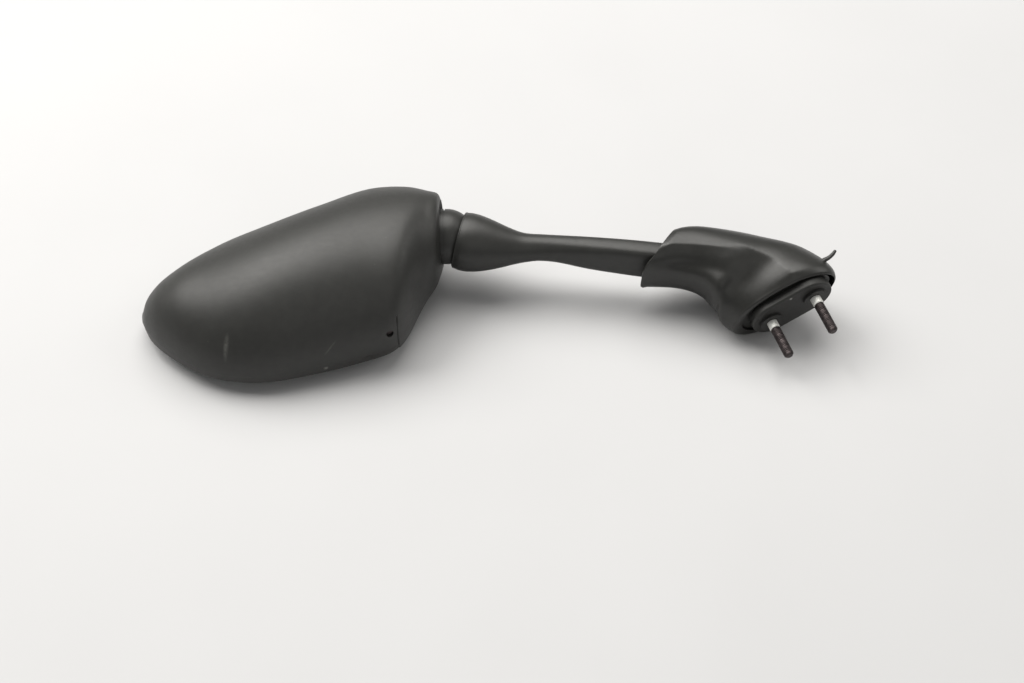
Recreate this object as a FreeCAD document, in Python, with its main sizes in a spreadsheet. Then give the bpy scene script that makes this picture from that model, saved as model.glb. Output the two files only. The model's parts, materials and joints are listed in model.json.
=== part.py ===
import FreeCAD, Part
import math
import os
import Sketcher

# A right-hand fairing mirror for a motorcycle, lying glass down.
# The origin is the centre of the mount, on the face of the base pad, midway between the studs.
# +X runs from the head to the base, +Y away from the viewer, +Z out of the back of the head.

SIZES = {
    # How the mount stands in the part's frame, degrees
    "mount_yaw": 20.0,
    "mount_pitch": 7.0,
    "mount_roll": -28.0,
    # Mount: base pad, studs and bracket
    "stud_spacing": 28.5,
    "stud_diameter": 6.0,
    "stud_reach": 26.0,
    "stud_chamfer": 0.8,
    "stud_shank_diameter": 6.2,
    "stud_shank_reach": 5.0,
    "stud_head_diameter": 9.8,
    "stud_head_height": 4.0,
    "pad_length": 51.0,
    "pad_width": 28.0,
    "pad_thickness": 4.5,
    "pad_edge": 1.2,
    "pad_boss_diameter": 14.0,
    "pad_boss_height": 1.6,
    "foot_inset": 1.2,
    "foot_thickness": 2.0,
    "flange_thickness": 3.5,
    "post_diameter": 17.0,
    "post_height": 9.5,
    "rib_thickness": 3.0,
    "rib_height": 6.0,
    # Fold pivot
    "fold_bolt_diameter": 8.0,
    "fold_head_flats": 13.0,
    "fold_head_height": 5.3,
    "fold_nut_height": 4.0,
    "bolt_end": 1.0,
    "thrust_washer_diameter": 18.0,
    "thrust_washer_thickness": 1.0,
    "cap_washer_diameter": 19.0,
    "cap_washer_thickness": 1.2,
    "disc_diameter": 16.5,
    "disc_thickness": 0.8,
    "disc_cone": 0.6,
    "eye_diameter": 25.0,
    "eye_height": 11.0,
    "bush_diameter": 12.0,
    "bush_clearance": 0.05,
    "washer_clearance": 0.3,
    "spot_clearance": 3.5,
    # Stem
    "stem_length": 194.8,
    "stem_yaw": 7.35,
    "stem_rise": 1.7,
    # Ball joint
    "cup_turn": 6.0,
    "cup_dip": 6.0,
    "ball_diameter": 33.0,
    "ball_wall": 3.0,
    "ball_hole_diameter": 17.0,
    "ball_depth": 5.0,
    "joint_clearance": 0.2,
    "liner_thickness": 0.8,
    "liner_hole_diameter": 18.0,
    "liner_proud": 0.4,
    "lip_reach": 7.5,
    "lip_width": 0.8,
    "slipper_thickness": 1.5,
    "slipper_reach": 6.8,
    "slipper_hole_diameter": 14.0,
    "seat_reach": 6.2,
    "swivel_stud_diameter": 6.0,
    "swivel_stud_depth": 34.0,
    "stud_clearance": 0.25,
    "spring_length": 20.0,
    "spring_diameter": 13.0,
    "spring_wire": 1.8,
    "spring_turns": 5.0,
    "spring_washer_diameter": 13.0,
    "spring_washer_thickness": 1.5,
    "swivel_nut_flats": 10.0,
    "swivel_nut_height": 5.5,
    # Head
    "collar_lean": 4.0,
    "shell_wall": 3.0,
    "rim_drop": 25.0,
    "bezel_band": 4.5,
    "bezel_gap": 0.3,
    "bezel_wall": 2.0,
    "bezel_upstand": 5.0,
    "bezel_lip_width": 8.5,
    "bezel_lip_thickness": 1.2,
    "glass_thickness": 3.0,
    "glass_clearance": 0.3,
    "backing_thickness": 2.0,
    "tab_width": 13.0,
    "corner_line_x": 26.6,
    "corner_line_width": 0.8,
    "corner_line_depth": 0.8,
    "corner_line_top": 3.0,
    "corner_hole_x": 31.0,
    "corner_hole_rise": -6.0,
    "corner_hole_diameter": 4.4,
    "corner_hole_turn": 20.0,
    "bezel_screw_diameter": 2.4,
    "bezel_screw_head_diameter": 4.0,
    "bezel_screw_head_height": 1.0,
    "bezel_screw_sink": 1.0,
    "bezel_screw_length": 7.0,
    # Bracket inside the head
    "skirt_length": 9.0,
    "tongue_start": 4.0,
    "tongue_drop": 15.0,
    "tongue_thickness": 3.5,
    "tongue_lobe": 7.0,
    "pair_screw_x": 31.0,
    "near_screw_y": 27.0,
    "far_screw_y": -19.0,
    "end_screw_x": 57.0,
    "end_screw_y": 8.0,
    "pillar_diameter": 9.0,
    "bracket_screw_diameter": 3.5,
    "bracket_screw_length": 12.0,
    "bracket_screw_head_diameter": 7.0,
    "bracket_screw_head_height": 2.2,
    "screw_clearance": 0.1,
    # Rubber boot
    "boot_wall": 2.5,
    "boot_fit": 1.5,
    "mouth_shift": 3.2,
    "mouth_half_length": 34.2,
    "mouth_half_width": 20.0,
}

# Sections of the head's moulded form, square to the line from the ball to the tip:
# distance from the ball, centre towards the near edge, centre height, half width, half height.
HEAD_SECTIONS = {
    "collar": (1.8, -1.0, 1.0, 19.8, 19.8),
    "flare": (5.5, 1.5, -0.5, 27.6, 26.3),
    "throat": (12.0, 4.5, -3.5, 34.0, 32.0),
    "root": (26.0, 15.5, -10.0, 52.5, 42.5),
    "shoulder": (45.0, 18.0, -18.0, 58.0, 50.0),
    "crown": (75.0, 28.0, -23.5, 57.5, 53.0),
    "belly": (105.0, 37.5, -25.0, 54.3, 49.0),
    "flank": (135.0, 42.0, -25.0, 45.5, 39.0),
    "brow": (158.0, 43.5, -25.0, 30.3, 29.5),
    "nose": (172.0, 43.0, -25.0, 17.3, 18.3),
    "tip": (179.0, 43.0, -25.0, 3.5, 4.0),
}

# Sections of the stem: distance from the ball, half depth, half height, fullness of the section.
STEM_SECTIONS = {
    "bell": (12.0, 17.6, 17.6, 2.0),
    "horn": (21.0, 16.6, 16.6, 2.0),
    "taper": (33.0, 13.0, 13.0, 2.0),
    "neck": (45.0, 9.2, 9.2, 2.0),
    "waist": (57.0, 7.9, 7.9, 2.0),
    "blade": (85.0, 7.3, 10.0, 2.8),
    "wide": (115.0, 7.0, 11.2, 3.6),
    "heel": (150.0, 7.0, 11.2, 3.6),
}

# Sections of the boot, along its bend: forward of the mount's centre, height over the pad's face,
# lean of the section in degrees, half size along the bend, half width, fullness.
BOOT_SECTIONS = {
    "ankle": (8.8, 22.0, 14.0, 32.6, 21.0, 2.2),
    "instep": (19.5, 35.5, 36.0, 22.5, 20.0, 2.5),
    "sleeve": (42.0, 52.0, 46.0, 17.0, 17.0, 2.8),
    "cuff": (63.4, 58.0, 37.0, 14.8, 15.5, 3.0),
}

# Heights and radii that follow from the sizes above.
LEVELS = {
    "foot_top": "pad_thickness + foot_thickness",
    "flange_top": "foot_top + flange_thickness",
    "post_top": "flange_top + post_height",
    "eye_bottom": "post_top + thrust_washer_thickness",
    "eye_top": "eye_bottom + eye_height",
    "eye_centre": "eye_bottom + eye_height / 2",
    "cap_top": "eye_top + cap_washer_thickness",
    "first_disc_edge": "cap_top + disc_thickness",
    "first_disc_bore": "cap_top + disc_cone",
    "first_disc_top": "first_disc_bore + disc_thickness",
    "second_disc_bore": "first_disc_top + disc_thickness",
    "second_disc_edge": "first_disc_top + disc_cone",
    "second_disc_top": "second_disc_edge + disc_thickness",
    "fold_nut_top": "second_disc_top + fold_nut_height",
    "fold_bolt_top": "fold_nut_top + bolt_end",
    "fold_head_pocket": "2 * fold_head_flats / sqrt(3) + 2 * washer_clearance",
    "fold_hole": "fold_bolt_diameter + 2 * screw_clearance",
    "fold_washer_hole": "fold_bolt_diameter + 2 * washer_clearance",
    "bush_hole": "fold_bolt_diameter + 2 * bush_clearance",
    "stud_hole": "stud_shank_diameter + 2 * screw_clearance",
    "stud_head_top": "flange_top + stud_head_height",
    "stud_tip_diameter": "stud_diameter - 2 * stud_chamfer",
    "stud_tip_reach": "stud_reach - stud_chamfer",
    "foot_length": "pad_length - 2 * foot_inset",
    "foot_width": "pad_width - 2 * foot_inset",
    "flange_reach": "mouth_shift + mouth_half_length - boot_wall - boot_fit",
    "flange_half_width": "mouth_half_width - boot_wall - boot_fit",
    "rib_half_length": "flange_half_width - foot_inset",
    "ball_radius": "ball_diameter / 2",
    "ball_inside": "ball_radius - ball_wall",
    "liner_inside": "ball_radius + joint_clearance",
    "liner_outside": "liner_inside + liner_thickness",
    "liner_edge": "lip_reach - liner_proud",
    "cup_radius": "liner_outside + joint_clearance",
    "slipper_outside": "ball_inside - joint_clearance",
    "slipper_inside": "slipper_outside - slipper_thickness",
    "seat_radius": "slipper_inside - joint_clearance",
    "seat_hole": "swivel_stud_diameter + 2 * stud_clearance",
    "swivel_hole": "swivel_stud_diameter + 2 * screw_clearance",
    "spring_end": "seat_reach - spring_length",
    "spring_washer_end": "spring_end - spring_washer_thickness",
    "swivel_nut_end": "spring_washer_end - swivel_nut_height",
    "swivel_stud_end": "swivel_nut_end - bolt_end",
    "ball_bore": "2 * ball_inside",
    "skirt_start": "ball_depth - ball_wall",
    "tongue_root_half": "ball_radius - ball_wall",
    "tongue_near_side": "near_screw_y + tongue_lobe",
    "tongue_far_side": "far_screw_y - tongue_lobe",
    "tongue_pair_end": "pair_screw_x + tongue_lobe",
    "tongue_tip": "end_screw_x + tongue_lobe",
    "tongue_tip_near": "end_screw_y + tongue_lobe",
    "tongue_tip_far": "end_screw_y - tongue_lobe",
    "tongue_top": "tongue_drop - tongue_thickness",
    "rim": "-rim_drop",
    "seam": "-rim_drop + bezel_band",
    "glass_front": "-rim_drop + bezel_lip_thickness",
    "glass_back": "glass_front + glass_thickness",
    "backing_back": "glass_back + backing_thickness",
    "upstand_inset": "shell_wall + bezel_gap",
    "pocket_inset": "upstand_inset + bezel_wall",
    "glass_inset": "pocket_inset + glass_clearance",
    "upstand_top": "seam + bezel_upstand",
    "floor_top": "-rim_drop + shell_wall",
    "bezel_start": "corner_line_x + bezel_gap",
    "pocket_start": "bezel_start + bezel_wall",
    "glass_start": "pocket_start + glass_clearance",
    "opening_start": "pocket_start + bezel_lip_width - pocket_inset",
    "screw_head_bottom": "tongue_drop + bracket_screw_head_height",
    "screw_tip": "tongue_drop - bracket_screw_length",
    "bracket_screw_hole": "bracket_screw_diameter + 2 * screw_clearance",
}

HEAD_COLUMNS = ("reach", "near", "height", "half_width", "half_height")
STEM_COLUMNS = ("reach", "half_depth", "half_height", "fullness")
BOOT_COLUMNS = ("forward", "height", "lean", "half_length", "half_width", "fullness")

RING_POLES = 16
ROWS_BETWEEN = 3
TOO_SMALL = 1.0
BEYOND = 200.0

Vector = FreeCAD.Vector
Rotation = FreeCAD.Rotation
Placement = FreeCAD.Placement
X = Vector(1, 0, 0)
Y = Vector(0, 1, 0)
Z = Vector(0, 0, 1)
HERE = Vector(0, 0, 0)

doc = FreeCAD.newDocument("motorcycle_mirror")
sheet = doc.addObject("Spreadsheet::Sheet", "Sizes")


def write_sheet():
    """Puts every size, section and level in the sheet, each under its own alias."""
    rows = [(alias, str(value)) for alias, value in SIZES.items()]
    for sections, columns in (
        (HEAD_SECTIONS, HEAD_COLUMNS),
        (STEM_SECTIONS, STEM_COLUMNS),
        (BOOT_SECTIONS, BOOT_COLUMNS),
    ):
        for name, values in sections.items():
            rows += [(f"{name}_{column}", str(value)) for column, value in zip(columns, values)]
    rows += [(alias, "=" + formula) for alias, formula in LEVELS.items()]
    for row, (alias, content) in enumerate(rows, start=1):
        sheet.set(f"A{row}", alias)
        sheet.set(f"B{row}", content)
        sheet.setAlias(f"B{row}", alias)
    doc.recompute()


def size(alias):
    """The present value of a cell."""
    return float(sheet.get(alias))


def section(name, columns):
    """One row of a section table, as it stands in the sheet."""
    return [size(f"{name}_{column}") for column in columns]


# A sketch coordinate is a cell and a factor, or None on the sketch's own axis.

def full(alias):
    return alias, 1.0


def half(alias):
    return alias, 0.5


def back(alias):
    return alias, -1.0


def half_back(alias):
    return alias, -0.5


def amount(coordinate):
    """Present value of a sketch coordinate."""
    return 0.0 if coordinate is None else size(coordinate[0]) * coordinate[1]


def formula(coordinate):
    """The same coordinate as an expression."""
    return f"Sizes.{coordinate[0]} * {coordinate[1]}"


def tie(sketch, kind, where, coordinate):
    """Adds a dimension to a sketch and binds it to its cell."""
    index = sketch.addConstraint(Sketcher.Constraint(kind, *where, amount(coordinate)))
    sketch.setExpression(f"Constraints[{index}]", formula(coordinate))


def tie_point(sketch, geometry, end, point):
    """Places one end of a line: each coordinate from its cell, or on the axis."""
    for kind, axis, coordinate in (("DistanceX", -2, point[0]), ("DistanceY", -1, point[1])):
        if coordinate is None:
            sketch.addConstraint(Sketcher.Constraint("PointOnObject", geometry, end, axis))
        else:
            tie(sketch, kind, (-1, 1, geometry, end), coordinate)


def new_body(label):
    body = doc.addObject("PartDesign::Body", label)
    body.Label = label
    return body


def new_sketch(body, plane, lift=None):
    """A sketch on one of the body's own planes, lifted by a cell where one is given."""
    sketch = body.newObject("Sketcher::SketchObject", body.Label + "_sketch")
    support = next(item for item in body.Origin.OriginFeatures if item.Role == plane)
    sketch.AttachmentSupport = [(support, "")]
    sketch.MapMode = "FlatFace"
    if lift:
        sketch.setExpression("AttachmentOffset.Base.z", formula(lift))
    return sketch


def draw_outline(sketch, points):
    """Closed outline of straight lines whose corners are bound to cells."""
    corners = [Vector(amount(x), amount(y), 0) for x, y in points]
    count = len(corners)
    for index in range(count):
        sketch.addGeometry(Part.LineSegment(corners[index], corners[(index + 1) % count]))
    for index in range(count):
        sketch.addConstraint(Sketcher.Constraint("Coincident", index, 2, (index + 1) % count, 1))
        tie_point(sketch, index, 1, points[index])


def draw_circles(sketch, diameter, centres=(None,)):
    """Circles on the sketch's X axis; a centre of None is the origin."""
    for centre in centres:
        circle = Part.Circle(Vector(amount(centre), 0, 0), Z, amount(half(diameter)))
        index = sketch.addGeometry(circle)
        tie(sketch, "Diameter", (index,), full(diameter))
        tie_point(sketch, index, 3, (centre, None))


def draw_hexagon(sketch, flats):
    """Regular hexagon, its flats square to the sketch's Y axis."""
    corner = 1 / math.sqrt(3)
    draw_outline(sketch, [
        ((flats, corner), None),
        ((flats, corner / 2), half(flats)),
        ((flats, -corner / 2), half(flats)),
        ((flats, -corner), None),
        ((flats, -corner / 2), half_back(flats)),
        ((flats, corner / 2), half_back(flats)),
    ])


def draw_obround(sketch, length, width):
    """Two half circles joined by straight sides, along the sketch's X axis."""
    radius = amount(half(width))
    reach = amount(half(length)) - radius
    right = Part.Circle(Vector(reach, 0, 0), Z, radius)
    left = Part.Circle(Vector(-reach, 0, 0), Z, radius)
    sketch.addGeometry(Part.ArcOfCircle(right, -math.pi / 2, math.pi / 2))
    sketch.addGeometry(Part.LineSegment(Vector(reach, radius, 0), Vector(-reach, radius, 0)))
    sketch.addGeometry(Part.ArcOfCircle(left, math.pi / 2, 3 * math.pi / 2))
    sketch.addGeometry(Part.LineSegment(Vector(-reach, -radius, 0), Vector(reach, -radius, 0)))
    for index in range(4):
        sketch.addConstraint(Sketcher.Constraint("Tangent", index, 2, (index + 1) % 4, 1))
    sketch.addConstraint(Sketcher.Constraint("Symmetric", 0, 3, 2, 3, -1, 1))
    sketch.addConstraint(Sketcher.Constraint("PointOnObject", 0, 3, -1))
    index = sketch.addConstraint(Sketcher.Constraint("Radius", 0, radius))
    sketch.setExpression(f"Constraints[{index}]", f"Sizes.{width} / 2")
    index = sketch.addConstraint(Sketcher.Constraint("DistanceX", -1, 1, 0, 3, reach))
    sketch.setExpression(f"Constraints[{index}]", f"(Sizes.{length} - Sizes.{width}) / 2")


def draw_ellipse(sketch, centre, reach, half_width):
    """Ellipse centred on the sketch's X axis, along it as far as its reach."""
    half_length = amount(reach) - amount(centre)
    ellipse = Part.Ellipse(Vector(amount(centre), 0, 0), half_length, amount(half_width))
    sketch.addGeometry(ellipse)
    tie_point(sketch, 0, 3, (centre, None))
    sketch.exposeInternalGeometry(0)
    tie_point(sketch, 1, 1, (reach, None))
    tie(sketch, "DistanceY", (-1, 1, 2, 1), half_width)


def draw_zone(sketch, inside, outside, edge, hole):
    """Half section of a spherical zone: between two radii, from a flat edge to a round hole."""
    for radius in (inside, outside):
        start = math.asin(size(edge[0]) * edge[1] / size(radius))
        stop = math.acos(amount(half(hole)) / size(radius))
        sketch.addGeometry(Part.ArcOfCircle(Part.Circle(HERE, Z, size(radius)), start, stop))
    ends = [arc.EndPoint for arc in sketch.Geometry]
    starts = [arc.StartPoint for arc in sketch.Geometry]
    sketch.addGeometry(Part.LineSegment(*ends))
    sketch.addGeometry(Part.LineSegment(*starts))
    for index, radius in enumerate((inside, outside)):
        sketch.addConstraint(Sketcher.Constraint("Coincident", index, 3, -1, 1))
        tie(sketch, "Radius", (index,), full(radius))
        sketch.addConstraint(Sketcher.Constraint("Coincident", index, 2, 2, index + 1))
        sketch.addConstraint(Sketcher.Constraint("Coincident", index, 1, 3, index + 1))
    sketch.addConstraint(Sketcher.Constraint("Vertical", 2))
    sketch.addConstraint(Sketcher.Constraint("Horizontal", 3))
    tie(sketch, "DistanceX", (-1, 1, 2, 1), half(hole))
    tie(sketch, "DistanceY", (-1, 1, 3, 1), edge)


def extrude(body, kind, sketch, length=None, reverse=False):
    """Pad or pocket of a sketch; without a length it goes right through both ways."""
    feature = body.newObject("PartDesign::" + kind, body.Label + "_" + kind.lower())
    feature.Profile = sketch
    if length:
        feature.setExpression("Length", formula(length))
        feature.Reversed = reverse
    else:
        feature.Type = "ThroughAll"
        feature.Midplane = True
    return feature


def revolve(body, sketch):
    feature = body.newObject("PartDesign::Revolution", body.Label + "_turn")
    feature.Profile = sketch
    feature.ReferenceAxis = (sketch, ["V_Axis"])
    feature.Angle = 360
    return feature


def turned(label, points):
    """A piece turned about its own Z axis from a half section."""
    body = new_body(label)
    sketch = new_sketch(body, "XZ_Plane")
    draw_outline(sketch, points)
    revolve(body, sketch)
    return body


def ring(label, bore, outside, bottom, top):
    """A plain turned ring, such as a washer or a bush."""
    return turned(label, [
        (half(bore), bottom),
        (half(outside), bottom),
        (half(outside), top),
        (half(bore), top),
    ])


def hex_nut(label, flats, height, bore, bottom):
    body = new_body(label)
    blank = new_sketch(body, "XY_Plane", bottom)
    draw_hexagon(blank, flats)
    extrude(body, "Pad", blank, full(height))
    hole = new_sketch(body, "XY_Plane", bottom)
    draw_circles(hole, bore)
    extrude(body, "Pocket", hole)
    return body


def group(label, pieces):
    """Like pieces that share a node."""
    compound = doc.addObject("Part::Compound", label)
    compound.Links = pieces
    return compound


def made(label, shape):
    """A piece whose form is worked out from sections."""
    feature = doc.addObject("Part::Feature", label)
    feature.Shape = shape
    return feature


def rounded_ring(half_x, half_y, fullness, frame):
    """Ring of poles in a frame's XY plane: an ellipse at fullness 2, squarer above."""
    swell = 3 / (2 + math.cos(2 * math.pi / RING_POLES))
    ring_poles = []
    for step in range(RING_POLES):
        angle = 2 * math.pi * step / RING_POLES - math.pi / 2
        across = math.copysign(abs(math.cos(angle)) ** (2 / fullness), math.cos(angle))
        along = math.copysign(abs(math.sin(angle)) ** (2 / fullness), math.sin(angle))
        point = Vector(half_x * across, half_y * along, 0) * swell
        ring_poles.append(frame.multVec(point))
    return ring_poles


def between(rings):
    """Fills in rings between the drawn ones, so that each row of poles runs on smoothly."""
    spans = []
    for first, second in zip(rings, rings[1:]):
        spans.append(sum(p.distanceToPoint(q) for p, q in zip(first, second)) / len(first))
    rates = [[(q - p) / span for p, q in zip(first, second)]
             for first, second, span in zip(rings, rings[1:], spans)]
    slopes = [rates[0]]
    for before, after, left, right in zip(rates, rates[1:], spans, spans[1:]):
        share = right / (left + right)
        slopes.append([p * share + q * (1 - share) for p, q in zip(before, after)])
    slopes.append(rates[-1])
    rows = []
    for index, span in enumerate(spans):
        for step in range(ROWS_BETWEEN):
            t = step / ROWS_BETWEEN
            start = 2 * t ** 3 - 3 * t ** 2 + 1
            leave = (t ** 3 - 2 * t ** 2 + t) * span
            arrive = (t ** 3 - t ** 2) * span
            rows.append([
                p * start + q * (1 - start) + m * leave + n * arrive
                for p, q, m, n in zip(
                    rings[index], rings[index + 1], slopes[index], slopes[index + 1])
            ])
    rows.append(rings[-1])
    return rows


def skin(rings):
    """Solid inside a smooth surface along the rings, closed by a flat face at each end."""
    rows = between(rings)
    poles = [list(column) for column in zip(*rows)]
    inner_knots = len(rows) - 2
    surface = Part.BSplineSurface()
    surface.buildFromPolesMultsKnots(
        poles, [1] * (RING_POLES + 1), [4] + [1] * (inner_knots - 2) + [4],
        list(range(RING_POLES + 1)), list(range(inner_knots)), True, False, 3, 3,
    )
    side = surface.toShape()
    ends = [edge for edge in side.Edges if edge.isClosed() and not edge.isSeam(side)]
    caps = [Part.Face(Part.Wire([edge])) for edge in ends]
    shell = Part.Shell([side] + caps)
    shell.sewShape()
    solid = Part.Solid(shell)
    solid.fix(1e-6, 1e-6, 1e-6)
    return solid


def facing(normal, side):
    """Turn that brings Z to the normal and X as near as it can to the side."""
    upright = normal.cross(side)
    return Rotation(upright.cross(normal), upright, normal, "ZXY")


def rod(start, direction, length, diameter):
    return Part.makeCylinder(diameter / 2, length, start, direction)


write_sheet()

# Frames of the groups of pieces, each a Placement in the part's frame.
mount_turn = (
    Rotation(Z, size("mount_yaw")) * Rotation(X, size("mount_pitch"))
    * Rotation(Z, 180) * Rotation(X, 90) * Rotation(Z, size("mount_roll"))
)
mount_frame = Placement(HERE, mount_turn)
fold_axis = mount_turn.multVec(Z)
eye_spot = fold_axis * size("eye_centre")
stem_turn = Rotation(Z, -size("stem_yaw")) * Rotation(Y, size("stem_rise"))
ball_spot = eye_spot - stem_turn.multVec(X) * size("stem_length")
stem_frame = Placement(ball_spot, stem_turn)
swivel_turn = (
    Rotation(Z, -size("stem_yaw") - size("cup_turn"))
    * Rotation(Y, size("stem_rise") + size("cup_dip") + 90)
)
swivel_frame = Placement(ball_spot, swivel_turn)
spring_lift = Placement(Z * (size("spring_end") + size("spring_wire") / 2), Rotation())
spring_frame = swivel_frame * spring_lift
head_frame = Placement(ball_spot, Rotation(Z, 180))


def in_frame(frame, turn):
    """Direction of a turned Z axis, seen from another frame."""
    return frame.Rotation.inverted().multVec(turn.multVec(Z))


# Base: pad, bracket and studs.

def make_base_pad():
    body = new_body("base_pad")
    plate = new_sketch(body, "XY_Plane")
    draw_obround(plate, "pad_length", "pad_width")
    sheet_pad = extrude(body, "Pad", plate, full("pad_thickness"))
    doc.recompute()
    middle = amount(half("pad_thickness"))
    rounding = body.newObject("PartDesign::Fillet", "base_pad_rounding")
    rounding.Base = (sheet_pad, [
        f"Edge{index}" for index, edge in enumerate(sheet_pad.Shape.Edges, start=1)
        if edge.BoundBox.ZMax < middle
    ])
    rounding.setExpression("Radius", "Sizes.pad_edge")
    studs = (half("stud_spacing"), half_back("stud_spacing"))
    bosses = new_sketch(body, "XY_Plane")
    draw_circles(bosses, "pad_boss_diameter", studs)
    extrude(body, "Pad", bosses, full("pad_boss_height"), reverse=True)
    holes = new_sketch(body, "XY_Plane")
    draw_circles(holes, "stud_hole", studs)
    extrude(body, "Pocket", holes)
    return body


def make_base_bracket():
    body = new_body("base_bracket")
    foot = new_sketch(body, "XY_Plane", full("pad_thickness"))
    draw_obround(foot, "foot_length", "foot_width")
    extrude(body, "Pad", foot, full("foot_thickness"))
    flange = new_sketch(body, "XY_Plane", full("foot_top"))
    draw_ellipse(flange, full("mouth_shift"), full("flange_reach"), full("flange_half_width"))
    extrude(body, "Pad", flange, full("flange_thickness"))
    post = new_sketch(body, "XY_Plane", full("flange_top"))
    draw_circles(post, "post_diameter")
    extrude(body, "Pad", post, full("post_height"))
    rib = new_sketch(body, "XY_Plane", full("flange_top"))
    draw_outline(rib, [
        (half("rib_thickness"), full("rib_half_length")),
        (half_back("rib_thickness"), full("rib_half_length")),
        (half_back("rib_thickness"), back("rib_half_length")),
        (half("rib_thickness"), back("rib_half_length")),
    ])
    extrude(body, "Pad", rib, full("rib_height"))
    recess = new_sketch(body, "XY_Plane", full("pad_thickness"))
    draw_circles(recess, "fold_head_pocket")
    extrude(body, "Pocket", recess, full("fold_head_height"), reverse=True)
    pivot = new_sketch(body, "XY_Plane", full("pad_thickness"))
    draw_circles(pivot, "fold_hole")
    extrude(body, "Pocket", pivot)
    holes = new_sketch(body, "XY_Plane", full("pad_thickness"))
    draw_circles(holes, "stud_hole", (half("stud_spacing"), half_back("stud_spacing")))
    extrude(body, "Pocket", holes)
    return body


def make_mounting_studs():
    studs = []
    for label, share in (("near_stud", "0.5"), ("far_stud", "-0.5")):
        stud = turned(label, [
            (None, back("stud_reach")),
            (half("stud_tip_diameter"), back("stud_reach")),
            (half("stud_diameter"), back("stud_tip_reach")),
            (half("stud_diameter"), back("stud_shank_reach")),
            (half("stud_shank_diameter"), back("stud_shank_reach")),
            (half("stud_shank_diameter"), full("flange_top")),
            (half("stud_head_diameter"), full("flange_top")),
            (half("stud_head_diameter"), full("stud_head_top")),
            (None, full("stud_head_top")),
        ])
        stud.setExpression("Placement.Base.x", f"Sizes.stud_spacing * {share}")
        studs.append(stud)
    return group("mounting_studs", studs)


# Fold pivot: bolt, washers, disc springs, nut and bush.

def make_fold_bolt():
    body = new_body("fold_bolt")
    head = new_sketch(body, "XY_Plane", full("pad_thickness"))
    draw_hexagon(head, "fold_head_flats")
    extrude(body, "Pad", head, full("fold_head_height"))
    shank = new_sketch(body, "XZ_Plane")
    draw_outline(shank, [
        (None, full("pad_thickness")),
        (half("fold_bolt_diameter"), full("pad_thickness")),
        (half("fold_bolt_diameter"), full("fold_bolt_top")),
        (None, full("fold_bolt_top")),
    ])
    revolve(body, shank)
    return body


def make_fold_disc_springs():
    bore = half("fold_washer_hole")
    edge = half("disc_diameter")
    lower = turned("lower_disc", [
        (edge, full("cap_top")),
        (edge, full("first_disc_edge")),
        (bore, full("first_disc_top")),
        (bore, full("first_disc_bore")),
    ])
    upper = turned("upper_disc", [
        (bore, full("first_disc_top")),
        (bore, full("second_disc_bore")),
        (edge, full("second_disc_top")),
        (edge, full("second_disc_edge")),
    ])
    return group("fold_disc_springs", [lower, upper])


# Rubber boot over the base, and the stem.

def bent_frame(forward, height, lean, heading):
    """Plane across the boot's bend: square to the mount at lean 0, tipping over along the heading."""
    ahead = Rotation(Z, heading).multVec(X)
    tip = math.radians(lean)
    normal = Z * math.cos(tip) + ahead * math.sin(tip)
    along = ahead * math.cos(tip) - Z * math.sin(tip)
    return Placement(ahead * forward + Z * height, facing(normal, along))


def boot_form(inset, overrun):
    """The boot's form, drawn in by an inset and run on past both openings."""
    towards_ball = mount_turn.inverted().multVec(ball_spot - eye_spot)
    heading = math.degrees(math.atan2(towards_ball.y, towards_ball.x))
    full_lean = size("instep_lean")
    mouth = (size("mouth_half_length") - inset, size("mouth_half_width") - inset, 2.0)
    start = bent_frame(size("mouth_shift"), size("foot_top") - overrun, 0.0, 0.0)
    rings = [rounded_ring(*mouth, start)]
    for name in BOOT_SECTIONS:
        forward, height, lean, half_length, half_width, fullness = section(name, BOOT_COLUMNS)
        share = min(1.0, lean / full_lean)
        frame = bent_frame(forward, height, lean, heading * share)
        if name == "cuff":
            frame.Base = frame.Base + frame.Rotation.multVec(Z) * overrun
        rings.append(rounded_ring(half_length - inset, half_width - inset, fullness, frame))
    return skin(rings)


def make_rubber_boot():
    hollow = boot_form(size("boot_wall"), size("boot_fit"))
    return made("rubber_boot", boot_form(0.0, 0.0).cut(hollow))


def stem_direction(reach):
    """Way the stem's axis runs at a reach from the ball: from the cup's own axis to the stem's."""
    cup_axis = in_frame(stem_frame, swivel_turn)
    share = (size("waist_reach") - reach) / (size("waist_reach") - size("bell_reach"))
    share = min(1.0, max(0.0, share))
    return (X * (1 - share) + cup_axis * share).normalize()


def make_stem():
    cup_axis = in_frame(stem_frame, swivel_turn)
    lip_radius = math.sqrt(size("cup_radius") ** 2 - size("lip_reach") ** 2) + size("lip_width")
    lip_frame = Placement(cup_axis * size("lip_reach"), facing(cup_axis, Y))
    rings = [rounded_ring(lip_radius, lip_radius, 2.0, lip_frame)]
    for name in STEM_SECTIONS:
        reach, half_depth, half_height, fullness = section(name, STEM_COLUMNS)
        direction = stem_direction(reach)
        frame = Placement(direction * reach, facing(direction, Y))
        rings.append(rounded_ring(half_depth, half_height, fullness, frame))
    end_frame = Placement(X * size("stem_length"), facing(X, Y))
    rings.append(rounded_ring(half_depth, half_height, fullness, end_frame))
    pivot = in_frame(stem_frame, mount_turn)
    eye_middle = X * size("stem_length")
    half_eye = pivot * (size("eye_height") / 2)
    eye = rod(eye_middle - half_eye, pivot, size("eye_height"), size("eye_diameter"))
    body = skin(rings).fuse(eye)
    spot = size("cap_washer_diameter") + 2 * size("spot_clearance")
    cuts = [
        Part.makeSphere(size("cup_radius")),
        rod(HERE, cup_axis, size("swivel_stud_depth"), size("swivel_hole")),
        rod(eye_middle - half_eye, pivot, size("eye_height"), size("bush_diameter")),
        rod(eye_middle + half_eye, pivot, BEYOND, spot),
        rod(eye_middle - half_eye, -pivot, BEYOND, spot),
    ]
    return made("stem", body.cut(cuts).removeSplitter())


# Ball joint.

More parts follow.
